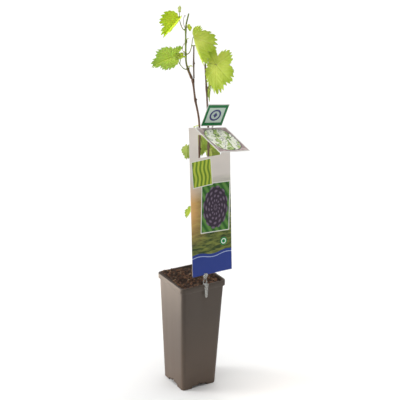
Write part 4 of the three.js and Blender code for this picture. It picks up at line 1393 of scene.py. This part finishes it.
def clip_parts():
    """The hook with its tongue, the two arms and the two jaws."""
    half = CLIP_THICKNESS / 2
    outer = -RIM_WIDTH / 2 - CLIP_GAP - half
    inner = -RIM_WIDTH / 2 + HOOK_INSET + half
    saddle = POT_HEIGHT + CLIP_GAP + half
    hook = [(outer, TONGUE_FOOT), (outer, 192), (outer, 204), (outer, saddle - 0.9),
            (outer + 0.9, saddle), (inner - 0.9, saddle), (inner, saddle - 0.9),
            (inner, saddle + half - HOOK_DEPTH)]
    widths = [4.0, 5.6, 6.4, *[CLIP_WIDTH] * 4, 7]
    parts = [strip_mesh(hook, widths, CLIP_THICKNESS)]
    slope = math.tan(lean) * (JAW_TOP - LABEL_FOOT)
    front = LABEL_Y - LABEL_THICKNESS / 2 - CLIP_GAP - JAW_LIP
    back = LABEL_Y + slope + LABEL_THICKNESS / 2 + CLIP_GAP + JAW_LIP
    middle = (front + back) / 2
    for side in (-1, 1):
        bow = [(2.6, saddle), (3.3, 213.6), (2.5, 218), (1.7, 221), (2.2, JAW_FOOT + 1.2)]
        path = route_path([(CLIP_X + side * x, middle, z) for x, z in bow])
        shares = np.linspace(0, 1, 24)
        radius = 0.85 + 0.25 * np.cos(2 * np.pi * shares)
        parts.append(tube(path, shares, radius[:, None], 12))
    for face in (front + JAW_LIP / 2, back - JAW_LIP / 2):
        jaw = [(face, JAW_FOOT + 0.4), (face, JAW_FOOT + 2.5), (face, JAW_TOP - 2),
               (face, JAW_TOP - 0.2)]
        parts.append(strip_mesh(jaw, [6.4, CLIP_WIDTH, CLIP_WIDTH, 7.2], JAW_LIP))
    bridge = [(front + 0.3, JAW_FOOT + 1.4), (middle, JAW_FOOT + 1.2),
              (back - 0.3, JAW_FOOT + 1.4)]
    parts.append(strip_mesh(bridge, [7, 7, 7], 1.6))
    return parts


def clip_plastic():
    """Milky plastic that lets some light through, with fine scratches in its gloss."""
    material, tree = shader("clip_plastic", Base_Color=(0.80, 0.81, 0.78, 1), Roughness=0.2,
                            Transmission_Weight=0.75, IOR=1.49)
    _, fine = placed(tree, MOTTLE, 300.0, 2500.0)
    return finished(material, bump=(fine, 0.15, 0.0001))


clip = closed_mesh("label_clip", *joined(clip_parts()))
smooth(clip, 50)
clip.data.materials.append(clip_plastic())
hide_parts("clip")
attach(clip, "root")


# ============================================================ studio
# A wide pale floor under an even pale sky, a soft light low on the left, a wide one
# overhead, and two lamps that brighten only the floor, which the pot reflects. The
# camera stands a little left of the label's side and looks down.

FLOOR_HALF = 30.0  # metres
LAMP_COLOUR = (1.0, 0.83, 0.68)
SKY_STRENGTH = 0.35  # what lights the plant
SKY_SEEN = 0.75  # added where the camera sees the sky itself
CAMERA_PLACE = (-0.889128, -1.470052, 0.978809)
CAMERA_TURN = (70.0787, -1.1535, -31.1619)  # degrees round x, y and z
CAMERA_LENS = 93.32
floor_mesh = bpy.data.meshes.new("floor")
floor_mesh.from_pydata([(x * FLOOR_HALF, y * FLOOR_HALF, 0) for x, y in (
    (-1, -1), (1, -1), (1, 1), (-1, 1))], [], [(0, 1, 2, 3)])
floor_piece = bpy.data.objects.new("floor", floor_mesh)
bpy.context.scene.collection.objects.link(floor_piece)
floor_mesh.materials.append(
    shader("floor_paper", Roughness=0.9, Base_Color=(0.85, 0.85, 0.845, 1))[0])


def soft_light(name, towards, strength, spread):
    """A distant light that lies in a direction, soft by its spread in degrees."""
    light = bpy.data.lights.new(name, "SUN")
    light.energy, light.angle = strength, math.radians(spread)
    lamp = bpy.data.objects.new(name, light)
    lamp.rotation_euler = Vector(towards).to_track_quat("Z", "Y").to_euler()
    bpy.context.scene.collection.objects.link(lamp)


def floor_light(name, place, watts, spread):
    """A lamp straight above a place on the floor, which lights only the floor there."""
    light = bpy.data.lights.new(name, "SPOT")
    light.energy, light.spot_size, light.spot_blend = watts, math.radians(spread), 1.0
    light.shadow_soft_size = 0.2
    light.color = LAMP_COLOUR
    lamp = bpy.data.objects.new(name, light)
    lamp.location = place
    bpy.context.scene.collection.objects.link(lamp)


soft_light("key", (-0.80, 0.52, 0.24), 2.9, 24)
soft_light("overhead", (0.05, 0.15, 1.0), 2.2, 70)
floor_light("floor_behind", (-0.48, 0.70, 1.5), 680, 46)
floor_light("floor_front", (0.19, -0.34, 1.5), 90, 19)
world = bpy.data.worlds.new("sky")
world.use_nodes = True
world.node_tree.nodes["Background"].inputs["Color"].default_value = (1, 1, 1, 1)
seen = add(world.node_tree, "LightPath", output="Is Camera Ray")
world.node_tree.links.new((seen * SKY_SEEN + SKY_STRENGTH).socket,
                          world.node_tree.nodes["Background"].inputs["Strength"])
bpy.context.scene.world = world
bpy.context.scene.view_settings.view_transform = "Standard"

camera = bpy.data.cameras.new("camera")
camera.lens = CAMERA_LENS
camera.clip_end = 100
eye = bpy.data.objects.new("camera", camera)
eye.location = CAMERA_PLACE
eye.rotation_euler = [math.radians(turn) for turn in CAMERA_TURN]
bpy.context.scene.collection.objects.link(eye)
bpy.context.scene.camera = eye

bpy.context.view_layer.update()
